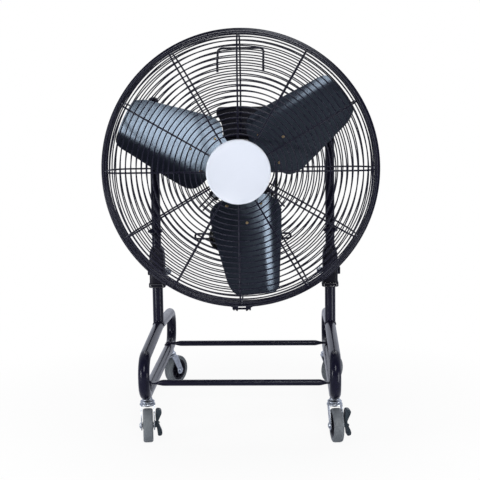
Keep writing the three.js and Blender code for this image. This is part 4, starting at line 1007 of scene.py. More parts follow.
def dome_bolt():
    """Round head on a washer, seated at z 0."""
    return turned([(0, -0.001), (0.0080, -0.001), (0.0080, 0.0), (0.0078, 0.0006), (0.0062, 0.0006),
                   *dome(0.0060, 0.0036, 0.0008)], 32)


for name, side in SIDES:
    x = side * SIDE_X
    loop = wire(frame_path(x), FRAME_R, 32, closed=True)
    loop.join(weld_bead(x))
    piece(f"frame_tube_{name}", loop, "cart", PAINT, [f"side_frame_{name}"], sharp=50)
    post = turned([(0, PEAK_Z), (UPRIGHT_R, PEAK_Z), (UPRIGHT_R, UPRIGHT_TOP_Z), (BORE_R, UPRIGHT_TOP_Z),
                   (BORE_R, PEAK_Z + 0.01), (0, PEAK_Z + 0.01)], 48)
    piece(f"upright_tube_{name}", post, "cart", PAINT, [f"upright_{name}"], at(x, 0, 0))

races = [(Vector((sx * SIDE_X, sy * PIN_Y, 0)), (0, 0, 1)) for sx, sy, _ in CASTERS.values()]
piece("swivel_races", scattered("swivel_races", swivel_race(), races, ZINC), "cart", ZINC)
for name, end in (("front", -1), ("rear", 1)):
    piece(f"stretcher_{name}", cross_bar(), "cart", PAINT, [f"cross_bar_{name}"],
          at(0, end * BAR_Y, FRAME_LOW_Z), sharp=40)
bar_top = FRAME_LOW_Z + FRAME_R + SEAT + BAR_FLAT_T
seats = [(Vector((sx * SIDE_X, sy * BAR_Y, bar_top)), (0, 0, 1)) for sx in (-1, 1) for sy in (-1, 1)]
piece("stretcher_bolts", scattered("stretcher_bolts", dome_bolt(), seats, PAINT), "cart", PAINT)

# ---------------------------------------------------------------- collars and masts


def collar():
    """Clamp collar about Z: rounded block round the upright, split behind, with a lip below."""
    bore = math.degrees(math.asin(COLLAR_SLOT / 2 / MAST_R))
    slot = COLLAR_SLOT / 2
    corner = 0.0085

    def section(z, inset, bore_r):
        x, front, back = COLLAR_HALF_W - inset, COLLAR_FRONT - inset, COLLAR_BACK - inset
        ring = arc((x - corner, back - corner), corner, 90, 0, 6)
        ring += arc((x - corner, -front + corner), corner, 0, -90, 6)
        ring += arc((-x + corner, -front + corner), corner, -90, -180, 6)
        ring += arc((-x + corner, back - corner), corner, 180, 90, 6)
        inner = arc((0, 0), bore_r, 90 + bore, 450 - bore, 40)
        return [(px, py, z) for px, py in [(slot, back), *ring, (-slot, back), *inner]]

    # height and inset: the lip at the bottom stands proud, the top is rounded
    levels = [(COLLAR_BOTTOM_Z, 0.0004), (0.3058, -0.0010), (0.3066, -0.0014), (0.3146, -0.0014),
              (0.3156, -0.0010), (0.3163, 0.0004), (0.3172, 0.0004), (0.3780, 0.0006), (0.3850, 0.0010),
              (0.3930, 0.0026), (0.3990, 0.0046), (0.4018, 0.0058), (COLLAR_TOP_Z, 0.0074)]
    return loft([section(z, inset, MAST_R + 0.0002) for z, inset in levels])


def lip_bead():
    """Raised oblong bead on the front of the collar's lip."""
    y = -COLLAR_FRONT - 0.0012
    half, low, high = 0.0150, 0.3071, 0.3146
    corners = [(-half, y, low), (half, y, low), (half, y, high), (-half, y, high)]
    return wire(bent(corners, 0.0036, 8, closed=True), 0.0013, 10, closed=True)


def clamp_bolt(side):
    """Pinch bolt along X through the collar's ears: its outer head, and its shank with the inner nut."""
    washer_t = 0.0012
    outward = AIM_X if side > 0 else FLIP_X @ AIM_X
    seat = at(0, 0, COLLAR_HALF_W + SEAT)
    head_at, nut_at = outward @ seat, FLIP_X @ outward @ seat
    washer = rod(0.0098, 0, washer_t, 32)
    head = washer.moved(head_at).join(hexagon(0.0172, 0.0052), head_at @ at(0, 0, washer_t))
    shank = washer.moved(nut_at).join(hexagon(0.0165, 0.0066), nut_at @ at(0, 0, washer_t))
    shank.join(thread(CLAMP_R, 0.006, 0.0128), nut_at)
    shank.join(rod(CLAMP_R, -0.020, 0.020), AIM_X)
    return head, shank


def mast():
    """Mast tube and its domed cap, about Z."""
    edge = MAST_R + 0.0006
    cap = [(edge, 0), (edge, 0.0022), (MAST_R, 0.0040), (MAST_R * 0.84, 0.0062), (MAST_R * 0.5, 0.0082),
           (0, 0.0090)]
    tube = rod(MAST_R, MAST_BOTTOM_Z, MAST_TOP_Z + OVERLAP, 48)
    return tube, turned([(0, MAST_TOP_Z), *[(r, MAST_TOP_Z + z) for r, z in cap]], 48)


for name, side in SIDES:
    axis = at(side * SIDE_X, 0, 0)
    clamp = axis @ at(0, CLAMP_Y, CLAMP_Z)
    head, shank = clamp_bolt(side)
    tube, cap = mast()
    piece(f"clamp_collar_{name}", collar(), "cart", PLASTIC, [f"collar_{name}"], axis)
    piece(f"collar_bead_{name}", lip_bead(), "cart", LACQUER, place=axis, sharp=60)
    piece(f"pinch_head_{name}", head, "cart", PAINT, place=clamp)
    piece(f"pinch_bolt_{name}", shank, "cart", ZINC, [f"clamp_bolt_{name}"], clamp)
    piece(f"mast_tube_{name}", tube, "head", PAINT, [f"mast_{name}"], axis)
    piece(f"mast_cap_{name}", cap, "head", PLASTIC, place=axis)

# ---------------------------------------------------------------- casters

PEDAL_X = 0.023
PEDAL_Z = 0.040
PEDAL_HALF_Y = 0.009
EAR_T = 0.002
AXLE_R = 0.004
BRIDGE_REAR, BRIDGE_FRONT = -0.014, 0.009
FORK_LEG_TOP_Z = 0.0795
AXLE = at(0, -CASTER_TRAIL, WHEEL_R) @ AIM_X
# stands a (y, z) outline on edge, thick along X
ON_SIDE = Matrix(((0, 0, 1, 0), (1, 0, 0, 0), (0, 1, 0, 0), (0, 0, 0, 1)))


def fork_leg(side):
    outline = [(BRIDGE_FRONT, FORK_LEG_TOP_Z), (BRIDGE_REAR, FORK_LEG_TOP_Z)]
    outline += arc((-CASTER_TRAIL, WHEEL_R), 0.011, 180, 377, 20)
    low, high = (FORK_INNER, FORK_OUTER) if side > 0 else (-FORK_OUTER, -FORK_INNER)
    return prism(outline, low, high).moved(ON_SIDE)


def fork():
    """Pressed fork of a caster about its swivel axis."""
    shape = turned([(0.0053, CROWN_LOW_Z), (0.0170, CROWN_LOW_Z), (0.0177, 0.0784), (0.0176, 0.0800),
                    (0.0168, 0.0816), (0.0150, 0.0830), (0.0142, CROWN_TOP_Z), (0.0053, CROWN_TOP_Z),
                    (0.0053, CROWN_LOW_Z)], 48)
    shape.join(block(-FORK_OUTER, FORK_OUTER, BRIDGE_REAR, BRIDGE_FRONT, CROWN_LOW_Z, 0.0800))
    return shape.join(fork_leg(1)).join(fork_leg(-1))


def pedal_ears():
    """Two ears on the fork and the pin between them, on which the brake rocker turns."""
    y = -CASTER_TRAIL
    shape = Shape()
    for low in (y - PEDAL_HALF_Y - SEAT - EAR_T, y + PEDAL_HALF_Y + SEAT):
        ear = [(FORK_OUTER - 0.0005, PEDAL_Z - 0.005)] + arc((PEDAL_X, PEDAL_Z), 0.003, -90, 90, 10)
        ear += [(FORK_OUTER - 0.0005, PEDAL_Z + 0.004)]
        shape.join(slab(ear, low, low + EAR_T))
    pin = turned([(0, -0.0118), (0.0024, -0.0118), (0.0026, -0.0112), (0.0016, -0.0110), (0.0016, 0.0110),
                   (0.0026, 0.0112), (0.0024, 0.0118), (0, 0.0118)], 24)
    return shape.join(pin, at(PEDAL_X, y, PEDAL_Z) @ AIM_Y)


def both_sides(side, steps):
    """Revolves half a wheel's section, given as (radius, half width), with its mirror image."""
    profile = [(r, -z) for r, z in side] + [(r, z) for r, z in reversed(side)]
    return turned(profile + profile[:1], steps)


def tyre():
    side = [(HUB_R + OVERLAP, 0.0104), (0.0300, 0.0109), (0.0335, 0.0110), (0.0354, 0.0104),
            (0.0368, 0.0086), (0.0374, 0.0060), (WHEEL_R, 0.0030)]
    return both_sides(side, 72).moved(AXLE)


def hub_web():
    """Wheel centre: rim, thin web and boss."""
    side = [(0.0043, 0.0122), (0.0068, 0.0122), (0.0076, 0.0116), (0.0082, 0.0024), (0.0212, 0.0020),
            (0.0224, 0.0096), (0.0236, 0.0104), (0.0262, 0.0104), (HUB_R, 0.0094)]
    return both_sides(side, 64)


def hub_rib():
    outline = [(0.0070, -0.0105), (0.0225, -0.0088), (0.0225, 0.0088), (0.0070, 0.0105)]
    return slab(outline, -0.0011, 0.0011)


def axle_hardware():
    """Bolt head and washer on one side of the fork, nut and thread on the other."""
    washer_t = 0.0004
    shape = Shape()
    for flip, thick in ((0, 0.0009), (math.pi, 0.0024)):
        place = AXLE @ Matrix.Rotation(flip, 4, "X") @ at(0, 0, FORK_OUTER + 0.0002)
        shape.join(rod(0.0068, -OVERLAP, washer_t, 32), place)
        shape.join(hexagon(0.0112, thick), place @ at(0, 0, washer_t))
        if flip:
            shape.join(thread(AXLE_R, 0.0010, 0.0036), place)
    return shape.join(rod(AXLE_R, -0.0155, 0.0155), AXLE)


# across and up, in millimetres
PEDAL_OUTLINE = [(17.6, 40), (17.0, 50), (16.6, 58), (17.2, 67), (18.6, 72.6), (21.5, 74.4), (26, 74.0),
                 (29.2, 72), (30.6, 68), (29.6, 63.5), (27, 57.5), (24, 51), (22.6, 46), (24.2, 40),
                 (27, 33), (29.8, 26.5), (31.2, 21.5), (30.4, 17.2), (27.8, 15.0), (24, 14.6),
                 (21.4, 16.6), (20.6, 22), (19.6, 30), (18.2, 37), (17.6, 40)]
TREADS, TREAD_HALF = 4, 0.0075
TREAD_LOW, TREAD_PITCH, TREAD_T = 0.0500, 0.0045, 0.0016
TREAD_OUT, TREAD_LEAN = 0.0232, 0.0018


def pedal():
    """Brake rocker: two flared pads about one pin, with treads across the upper one."""
    outline = [(0.001 * p.x, 0.001 * p.y) for p in smooth_through([(*p, 0) for p in PEDAL_OUTLINE], 3)][:-1]
    y = -CASTER_TRAIL
    shape = slab(outline, y - PEDAL_HALF_Y, y + PEDAL_HALF_Y)
    for k in range(TREADS):
        level = TREAD_LOW + TREAD_PITCH * k
        out = TREAD_OUT + TREAD_LEAN * k
        shape.join(block(out - 0.0012, out + 0.0010, y - TREAD_HALF, y + TREAD_HALF,
                         level, level + TREAD_T))
    return shape


for name, (sx, sy, swivel) in CASTERS.items():
    pin = at(sx * SIDE_X, sy * PIN_Y, 0) @ Matrix.Rotation(math.radians(swivel), 4, "Z")
    caster, wheel = f"caster_{name}", f"wheel_{name}"
    piece(f"caster_fork_{name}", fork(), caster, ZINC, [f"fork_{name}"], pin, bevel=0.0005)
    piece(f"caster_axle_{name}", axle_hardware(), caster, ZINC, [f"axle_bolt_{name}"], pin)
    piece(f"wheel_tyre_{name}", tyre(), wheel, RUBBER, [f"tyre_{name}"], pin, sharp=60)
    piece(f"wheel_centre_{name}", hub_web().moved(AXLE), wheel, PLASTIC, [f"wheel_hub_{name}"], pin,
          sharp=50)
    ribs = round_z(f"wheel_ribs_{name}", hub_rib(), HUB_RIBS, PLASTIC)
    piece(f"wheel_ribs_{name}", ribs, wheel, PLASTIC, place=pin @ AXLE, bevel=0.0004)
    if sy < 0:
        piece(f"pedal_ears_{name}", pedal_ears(), caster, PEDAL, place=pin)
        piece(f"pedal_pads_{name}", pedal(), f"pedal_{name}", PEDAL, [f"brake_pedal_{name}"], pin,
              bevel=0.0009)

# ---------------------------------------------------------------- guards


def guard_line(eye, depth, steps=24):
    """Outline of one half of the guard from the spokes' inner ends to the rim, as (radius, depth)."""
    shoulder = SPOKE_END_R - FLAT_R
    a, b = Vector((FLAT_R, depth)), Vector((FLAT_R + 0.7 * shoulder, depth))
    c, d = Vector((SPOKE_END_R, depth - 0.6 * shoulder)), Vector((SPOKE_END_R, depth - 1.05 * shoulder))
    parts = [k / steps for k in range(steps + 1)]
    curve = [(1 - t) ** 3 * a + 3 * t * (1 - t) ** 2 * b + 3 * t * t * (1 - t) * c + t ** 3 * d
             for t in parts]
    return [Vector((eye, depth)), *curve, Vector((SPOKE_END_R, 0.0015))]


def guard_rings(eye, depth):
    """Radius and depth of each ring, spaced evenly along the outline and seated outside it."""
    line = guard_line(eye, depth, 200)
    reach = [0.0]
    for p, q in zip(line, line[1:]):
        reach.append(reach[-1] + (q - p).length)
    rings = []
    s = FIRST_RING - eye
    while s < reach[-1] - RING_PITCH:
        i = next(k for k in range(1, len(reach)) if reach[k] >= s)
        share = (s - reach[i - 1]) / (reach[i] - reach[i - 1])
        here = line[i - 1].lerp(line[i], share)
        along = (line[i] - line[i - 1]).normalized()
        rings.append((here.x - along.y * RING_SEAT, here.y + along.x * RING_SEAT))
        s += RING_PITCH
    return rings


def rings_mesh(name, rings, wire_r, steps, sides):
    seed = seed_points([(0, 0, z) for _, z in rings], "ring_radius", "FLOAT", [r for r, _ in rings])
    return RING_NEST.grow(name, seed, Wire_Radius=wire_r, Sides=sides, Steps=steps, Material=WIRE)


def make_guard(name, eye, depth, face):
    """One half of the guard, which face turns to the front or the rear."""
    rings = rings_mesh(f"{name}_rings", guard_rings(eye, depth), RING_R, 128, 8)
    piece(f"{name}_rings", rings, "head", WIRE, [f"{name}_guard"], face, sharp=70)
    spoke = seed_lines([[(p.x, 0, p.y) for p in guard_line(eye, depth, 14)]])
    spokes = SPOKE_WHEEL.grow(f"{name}_spokes", spoke, Count=SPOKE_COUNT, Wire_Radius=SPOKE_R, Sides=12,
                              Material=WIRE)
    piece(f"{name}_spokes", spokes, "head", WIRE, place=face, sharp=50)
    for part, ring, wire_r, steps, sides in (
            ("eye_ring", (eye + 0.003, depth + EYE_SEAT), EYE_WIRE_R, 72, 10),
            ("rim_wire", (RIM_RING_R - 0.0006, 0.003), RIM_WIRE_R, 160, 12)):
        mesh = rings_mesh(f"{name}_{part}", [ring], wire_r, steps, sides)
        piece(f"{name}_{part}", mesh, "head", WIRE, place=face, sharp=70)


make_guard("front", FRONT_EYE, FRONT_DEPTH, FAN)
make_guard("rear", REAR_EYE, REAR_DEPTH, FAN @ FLIP_Z)

MOUNT_GAP = 0.0056
MOUNT_REACH = 0.138
diagonal = Matrix.Rotation(math.pi / 4, 4, "Z")
pair = seed_lines([[(r, side * MOUNT_GAP, 0) for r in (REAR_EYE, MOUNT_REACH)] for side in (-1, 1)])
mounts = SPOKE_WHEEL.grow("mount_wires", pair, Count=LUG_COUNT, Wire_Radius=SPOKE_R, Sides=12,
                          Material=WIRE)
piece("mount_wires", mounts, "head", WIRE, place=FAN @ at(0, 0, -REAR_DEPTH) @ diagonal, sharp=50)


def rim_band():
    """Channel band that clamps both halves of the guard, open below between its ears."""
    inner, root = RIM_R - BAND_DEPTH, RIM_R - BAND_WALL
    half, lip = BAND_HALF_W, BAND_HALF_W - BAND_WALL
    fillet = 0.0022
    corner = lambda z, start, end: arc((RIM_R - fillet, z), fillet, start, end, 5)
    profile = [(inner, -half), *corner(-half + fillet, -90, 0), *corner(half - fillet, 0, 90),
               (inner, half), (inner, lip), (root, lip), (root, -lip), (inner, -lip), (inner, -half)]
    gap = math.asin(BAND_GAP_HALF / RIM_R)
    shape = turned(profile, 200, -math.pi / 2 + gap, 2 * math.pi - 2 * gap)
    for side in (-1, 1):
        low, near, root = -RIM_R - 0.009, side * BAND_GAP_HALF, -RIM_R + 0.0012
        ear = [(near, root), (near, low + 0.002), (near + side * 0.0012, low), (near + side * 0.003, low),
               (near + side * 0.012, -RIM_R - 0.0010), (near + side * 0.017, root)]
        shape.join(prism(ear, -half, half))
    return shape


def band_bolt():
    """Bolt along X through the ears of the band."""
    shape = Shape()
    for outward in (FLIP_X, Matrix.Identity(4)):
        shape.join(hexagon(0.0078, 0.0038), outward @ at(0.0170, 0, 0) @ AIM_X)
    shape.join(thread(0.0024, -0.0225, -0.0200).moved(AIM_X))
    return shape.join(rod(0.0025, -0.018, 0.018, 20), AIM_X)


def badge():
    """Badge plate: plain face with a raised, rounded rim."""
    top = BADGE_BACK + 0.003
    rim = [(BADGE_R, 0.0), (BADGE_R, 0.0018), (BADGE_R - 0.0006, 0.0032), (BADGE_R - 0.0018, 0.0040),
           (BADGE_R - 0.0034, 0.0042), (BADGE_R - 0.0050, 0.0040), (BADGE_R - 0.0064, 0.0034),
           (BADGE_R - 0.0074, 0.0030)]
    profile = [(0, BADGE_BACK), *[(r, BADGE_BACK + z) for r, z in rim], (0, top)]
    return turned(profile, 128)


piece("rim_channel", rim_band(), "head", PAINT, ["rim_band"], FAN, sharp=40)
piece("rim_bolt", band_bolt(), "head", PAINT, ["band_bolt"], FAN @ at(0, -RIM_R - 0.0045, 0))
piece("badge_plate", badge(), "head", BADGE, ["badge_disc"], FAN, sharp=40)

# ---------------------------------------------------------------- saddles and U-bolts

U_HALF = 0.01355
U_WIRE_R = 0.00225
PLATE_SEAT = -0.07795
PLATE_T = 0.002


def saddle():
    """Pad between a mast and the rear guard, hollowed to the mast."""
    low, high = MAST_DEPTH + 0.005, GUARD_BACK - SEAT
    hollow = MAST_R + 0.0002
    reach = math.degrees(math.asin((low - MAST_DEPTH) / hollow))
    outline = [(MAST_R, low + 0.0004), (MAST_R, high), (-MAST_R, high), (-MAST_R, low + 0.0004)]
    outline += [(x, MAST_DEPTH + y) for x, y in arc((0, 0), hollow, 180 - reach, reach, 16)]
    return slab(outline, -0.005, 0.005)


def u_bolt():
    """U-bolt round a mast with its strap inside the guard."""
    bend = [(U_HALF * math.cos(math.radians(a)), 0, MAST_DEPTH - U_HALF * math.sin(math.radians(a)))
            for a in range(0, 181, 10)]
    shape = wire([(U_HALF, 0, PLATE_SEAT + 0.006), *bend, (-U_HALF, 0, PLATE_SEAT + 0.006)], U_WIRE_R, 16)
    strap = arc((U_HALF, 0), 0.004, -90, 90, 10) + arc((-U_HALF, 0), 0.004, 90, 270, 10)
    shape.join(prism(strap, PLATE_SEAT, PLATE_SEAT + PLATE_T))
    for side in (-1, 1):
        shape.join(hexagon(0.0070, 0.0032), at(side * U_HALF, 0, PLATE_SEAT + PLATE_T))
    return shape


for name, side in SIDES:
    for level, up in (("lower", -1), ("upper", 1)):
        there = FAN @ at(side * SIDE_X, up * SADDLE_Y, 0)
        piece(f"saddle_pad_{level}_{name}", saddle(), "head", PLASTIC,
              [f"mast_saddle_{level}_{name}"], there, bevel=0.0005)
        piece(f"u_bolt_{level}_{name}", u_bolt(), "head", PAINT, [f"mast_u_bolt_{level}_{name}"], there)

# ---------------------------------------------------------------- motor


def motor_shell():
    profile = [(0, MOTOR_REAR + 0.0006), (0.0150, MOTOR_REAR + 0.0006), (0.0165, MOTOR_REAR),
               (0.040, MOTOR_REAR), (0.050, MOTOR_REAR + 0.0020), (0.0570, MOTOR_REAR + 0.0045),
               (0.0615, MOTOR_REAR + 0.0085), (0.0645, MOTOR_REAR + 0.0125),
               (MOTOR_R, MOTOR_REAR + 0.0180), (MOTOR_R, -0.0380), (0.0654, -0.0366),
               (0.0640, -0.0360), (0.0630, -0.0360), (0, -0.0360)]
    return turned(profile, 96)


def motor_fin():
    """One of the shallow cooling ribs along the shell."""
    return block(0.0640, 0.0672, -0.0011, 0.0011, -0.0640, -0.0400)


def motor_lug():
    back = -REAR_DEPTH + SPOKE_R + SEAT
    outline = [(0.060, -0.013), (0.096, -0.013), *arc((0.096, -0.010), 0.003, -90, 0, 4)[1:],
               *arc((0.096, 0.010), 0.003, 0, 90, 4), (0.060, 0.013)]
    return prism(outline, back, back + 0.006)


def lug_stud():
    """Stud with its washer and nut behind the guard and its head on the lug."""
    shape = rod(0.003, GUARD_BACK - 0.0070, -0.0660, 20)
    shape.join(rod(0.009, GUARD_BACK - 0.0023, GUARD_BACK - SEAT, 32))
    shape.join(hexagon(0.010, 0.0040), at(0, 0, GUARD_BACK - 0.0063))
    shape.join(hexagon(0.010, 0.0036), at(0, 0, -0.06745))
    return shape


def motor_shield():
    """End shield with a raised bearing seat; the shaft runs through its bore."""
    bore = SHAFT_R + SEAT
    return turned([(bore, -0.0400), (0.0625, -0.0400), (0.0625, -0.0357), (0.0675, -0.0357),
                   (0.0672, -0.0335), (0.0655, -0.0322), (0.0600, -0.0318), (0.0240, -0.0302),
                   (0.0222, -0.0296), (0.0205, -0.0272), (0.0195, MOTOR_FRONT), (bore, MOTOR_FRONT),
                   (bore, -0.0400)], 96)


corners = [math.radians(a) for a in (45, 135, 225, 315)]
piece("motor_shell", motor_shell(), "head", MOTOR, ["motor_body"], FAN, sharp=30)
piece("motor_fins", round_z("motor_fins", motor_fin(), FIN_COUNT, MOTOR), "head", MOTOR, place=FAN)
piece("motor_lugs", round_z("motor_lugs", motor_lug(), LUG_COUNT, MOTOR), "head", MOTOR,
      place=FAN @ diagonal, bevel=0.0008)
stud = lug_stud().moved(at(LUG_R, 0, 0))
piece("motor_studs", round_z("motor_studs", stud, LUG_COUNT, ZINC), "head", ZINC, place=FAN @ diagonal)
piece("motor_shield", motor_shield(), "head", MOTOR, ["motor_end_shield"], FAN, sharp=30)
screw = turned([(0, -0.001), (0.0036, -0.001), *dome(0.0036, 0.0020, 0.0)], 20)
shield_screws = [((SHIELD_SCREW_R * math.cos(a), SHIELD_SCREW_R * math.sin(a), -0.0320), (0, 0, 1))
                 for a in corners]
piece("shield_screws", scattered("shield_screws", screw, shield_screws, ZINC), "head", ZINC, place=FAN)

# ---------------------------------------------------------------- impeller

# blade edges as (distance from the axis, place across the blade)
LEADING_EDGE = [(0.055, 0.012), (0.058, -0.004), (0.063, -0.022), (0.070, -0.040), (0.077, -0.0530),
                (0.085, -0.0630), (0.093, -0.0690), (0.102, -0.0720), (0.112, -0.0730), (0.125, -0.0720),
                (0.140, -0.0685), (0.177, -0.0590), (0.198, -0.0530), (0.240, -0.0410), (0.256, -0.0370),
                (0.2695, -0.0325), (0.281, -0.0255), (0.287, -0.0210), (0.2905, -0.0165), (0.292, -0.0110)]
TRAILING_EDGE = [(0.055, 0.0545), (0.0575, 0.0650), (0.0620, 0.0765), (0.0685, 0.0850), (0.077, 0.0905),
                 (0.088, 0.0937), (0.105, 0.0945), (0.148, 0.0940), (0.194, 0.0920), (0.219, 0.0907),
                 (0.248, 0.0895), (0.2686, 0.0890), (0.278, 0.0878), (0.284, 0.0860), (0.2885, 0.0825),
                 (0.2912, 0.0775), (0.292, 0.0710)]
RIVETS = [(-0.032, 0.085), (0.048, 0.077), (0.015, 0.123)]
ARM_LEFT = [(0.030, -0.030), (0.073, -0.046), (0.100, -0.040), (0.137, 0.003)]
ARM_RIGHT = [(0.030, 0.034), (0.073, 0.060), (0.100, 0.048), (0.137, 0.027)]
ARM_T, ARM_GAP = 0.003, 0.0004
ARM_ROOT, ARM_TIP, ARM_CORNER = 0.030, 0.137, 0.012


def blade_height(x, r):
    """Height of the blade's back at a place across (x) and along (r) it."""
    across = (x - 0.010) * 1000
    curl = max(x * 1000 - 55, 0)
    twist = 0.34 - 0.12 * (r - 0.073) / 0.215
    return (twist * across + 0.0011 * across ** 2 + 0.006 * curl ** 2 - 3) / 1000


def edge_at(edge, r):
    return float(np.interp(r, [p[0] for p in edge], [p[1] for p in edge]))


def sheet(edges, root, tip, lift, thickness, across, along, corner=0.0):
    """Sheet between two edges and two end radii, laid on the blade's curved surface."""
    top, bottom = [], []
    for j in range(along + 1):
        v = (1 - math.cos(math.pi * j / along)) / 2
        level = root + v * (tip - root)
        to_tip = min(tip - level, corner)
        inset = corner - math.sqrt(max(corner ** 2 - (corner - to_tip) ** 2, 0)) if corner else 0
        left, right = edge_at(edges[0], level) + inset, edge_at(edges[1], level) - inset
        for i in range(across + 1):
            x = left + (right - left) * i / across
            reach = math.sqrt(max(tip * tip - x * x, 1e-6))
            r = root + v * (reach - root)
            height = blade_height(x, r) + lift
            bottom.append((x, -r, height))
            top.append((x, -r, height + thickness))
    shape = Shape()
    columns, rows = across + 1, along + 1
    count = columns * rows
    shape.add(top + bottom, [])
    shape.faces += grid_faces(rows, columns)
    shape.faces += [[count + i for i in reversed(face)] for face in grid_faces(rows, columns)]
    rim = (list(range(columns)) + [j * columns + across for j in range(1, rows)]
           + [(rows - 1) * columns + j for j in reversed(range(across))]
           + [j * columns for j in reversed(range(1, rows - 1))])
    for a, b in zip(rim, rim[1:] + rim[:1]):
        shape.faces.append([a, b, count + b, count + a])
    return shape


def facing_out(x, r):
    """Direction in which the blade's front faces at a place on it."""
    step = 0.001
    slope_x = (blade_height(x + step, r) - blade_height(x - step, r)) / (2 * step)
    slope_r = (blade_height(x, r + step) - blade_height(x, r - step)) / (2 * step)
    return Vector((-slope_x, slope_r, 1)).normalized()


def rivet():
    """Round-headed rivet through blade and arm, with its upset end behind."""
    front = BLADE_T
    back = -ARM_T - ARM_GAP
    return turned([(0, back - 0.0022), (0.0022, back - 0.0022), (0.0034, back - 0.0012), (0.0036, back),
                   (0.0022, back), (0.0022, front), (0.0034, front), (0.0034, front + 0.0008),
                   (0.0026, front + 0.0020), (0.0012, front + 0.0024), (0.0009, front + 0.0012),
                   (0, front + 0.0012)], 28)


def hub():
    return turned([(SHAFT_R, -0.020), (0.022, -0.020), (0.0235, -0.0195), (0.0470, -0.0150),
                   (0.0500, -0.0120), (0.0500, 0.0085), (0.0485, 0.0100), (0.0255, 0.0150),
                   (0.0235, 0.0170), (0.0222, 0.0325), (0.0205, 0.0340), (SHAFT_R, 0.0340),
                   (SHAFT_R, -0.020)], 72)


blade_faces = sheet([LEADING_EDGE, TRAILING_EDGE], BLADE_ROOT, BLADE_TIP, 0, BLADE_T, across=28, along=90)
for k in range(BLADE_COUNT):
    turn = FAN @ Matrix.Rotation(math.radians(360 / BLADE_COUNT * k), 4, "Z")
    piece(f"fan_blade_{k + 1}", blade_faces, "impeller", BLADE, [f"blade_{k + 1}"], turn, bevel=0.0006)
arm = sheet([ARM_LEFT, ARM_RIGHT], ARM_ROOT, ARM_TIP, -ARM_T - ARM_GAP, ARM_T, across=14, along=20,
            corner=ARM_CORNER)
piece("hub_barrel", hub(), "impeller", BLADE, ["hub_spider"], FAN, sharp=30)
arms = round_z("hub_arms", arm, BLADE_COUNT, BLADE)
piece("hub_arms", arms, "impeller", BLADE, place=FAN, bevel=0.0006)
seats = []
for k in range(BLADE_COUNT):
    turn = Matrix.Rotation(math.radians(360 / BLADE_COUNT * k), 3, "Z")
    seats += [(turn @ Vector((x, -r, blade_height(x, r))), turn @ facing_out(x, r)) for x, r in RIVETS]
rivets = scattered("blade_rivets", rivet(), seats, BRASS)
piece("blade_rivets", rivets, "impeller", BRASS, place=FAN)
shaft = turned([(0, -0.061), (SHAFT_R, -0.061), (SHAFT_R, 0.0385), (SHAFT_R - 0.0015, 0.040),
                (0, 0.040)], 48)
piece("drive_shaft", shaft, "impeller", ZINC, ["shaft"], FAN)

# ---------------------------------------------------------------- handle, hooks and switch box

HANDLE_WIRE_R, HANDLE_HALF = 0.00275, 0.054
HANDLE_FOOT_Y, HANDLE_BEND_Y, HANDLE_GRIP_Y = 0.224, 0.248, 0.281
HANDLE_REACH = 0.034
HOOK_WIRE_R, HOOK_HALF = 0.0025, 0.006

handle_back = GUARD_BACK - SEAT - HANDLE_WIRE_R
half_handle = [(HANDLE_HALF, HANDLE_GRIP_Y, handle_back - HANDLE_REACH),
               (HANDLE_HALF, HANDLE_BEND_Y, handle_back), (HANDLE_HALF, HANDLE_FOOT_Y, handle_back)]
handle_line = bent([(-x, y, z) for x, y, z in reversed(half_handle)] + half_handle, 0.012, 8)
piece("handle_wire", wire(handle_line, HANDLE_WIRE_R, 16), "head", WIRE, ["carry_handle"], FAN, sharp=60)

hook_front = GUARD_BACK + 0.0002
hook_back = HANK_FAR - CORD_D / 2 - SEAT - HOOK_WIRE_R
hook_run = [(HOOK_X, HOOK_HALF, hook_front), (HOOK_X, HOOK_HALF, hook_back),
            (HOOK_REACH, HOOK_HALF, hook_back), (HOOK_REACH, -HOOK_HALF, hook_back),
            (HOOK_X, -HOOK_HALF, hook_back), (HOOK_X, -HOOK_HALF, hook_front)]
for name, side in SIDES:
    line = bent([(side * x, HANK_Y + y, z) for x, y, z in hook_run], 0.0054, 8)
    piece(f"hook_wire_{name}", wire(line, HOOK_WIRE_R, 14), "head", WIRE, [f"cord_hook_{name}"], FAN,
          sharp=60)


def box_outline():
    """T-shaped face of the switch box: a wide head over a neck that ends at the motor."""
    corner = 0.010
    top, bottom = BOX_Y + BOX_H / 2, BOX_Y - BOX_H / 2
    left, right, neck = BOX_X - BOX_W / 2 + 0.004, BOX_HEAD_RIGHT, BOX_X + BOX_W / 2
    waist = left + 0.0155
    outline = arc((left + corner, top - corner), corner, 90, 180, 8)
    outline += quadratic((left, top - 0.018), (left + 0.0135, top - 0.034), (waist, top - 0.062), 12)
    outline += [(waist, bottom), (neck - 0.006, bottom), (neck, bottom + 0.008), (neck, top - 0.034)]
    outline += quadratic((neck, top - 0.031), (neck + 0.002, top - 0.027), (right, top - 0.018), 8)
    return outline + arc((right - corner, top - corner), corner, 0, 90, 8)


def switch_box():
    """Moulded box of two halves with a shadow line between them."""
    seam = BOX_BACK + 0.0200
    outline = box_outline()
    middle = Vector((BOX_X + 0.010, BOX_Y + 0.010))
    tucked = [tuple(middle + (Vector(p) - middle) * 0.975) for p in outline]
    shape = prism(outline, BOX_BACK, seam)
    shape.join(prism(tucked, seam - 0.0005, seam + 0.0013))
    return shape.join(prism(outline, seam + 0.0008, GUARD_BACK - SEAT))


def gland():
    """Tapered strain relief about Z, ribbed along its length."""
    profile = [(0, -0.003), (0.009, -0.003), (0.009, 0.0034), (0.0083, 0.0042), (0.0068, 0.0046)]
    for k in range(6):
        low = 0.0060 + 0.0030 * k
        radius = 0.0066 - 0.00032 * k
        profile += [(radius, low), (radius, low + 0.0018), (radius - 0.0010, low + 0.0020),
                    (radius - 0.0011, low + 0.0029)]
    profile += [(0.0047, 0.0242), (0.0044, GLAND_L - 0.0003), (0.0040, GLAND_L), (0, GLAND_L)]
    return turned(profile, 40)


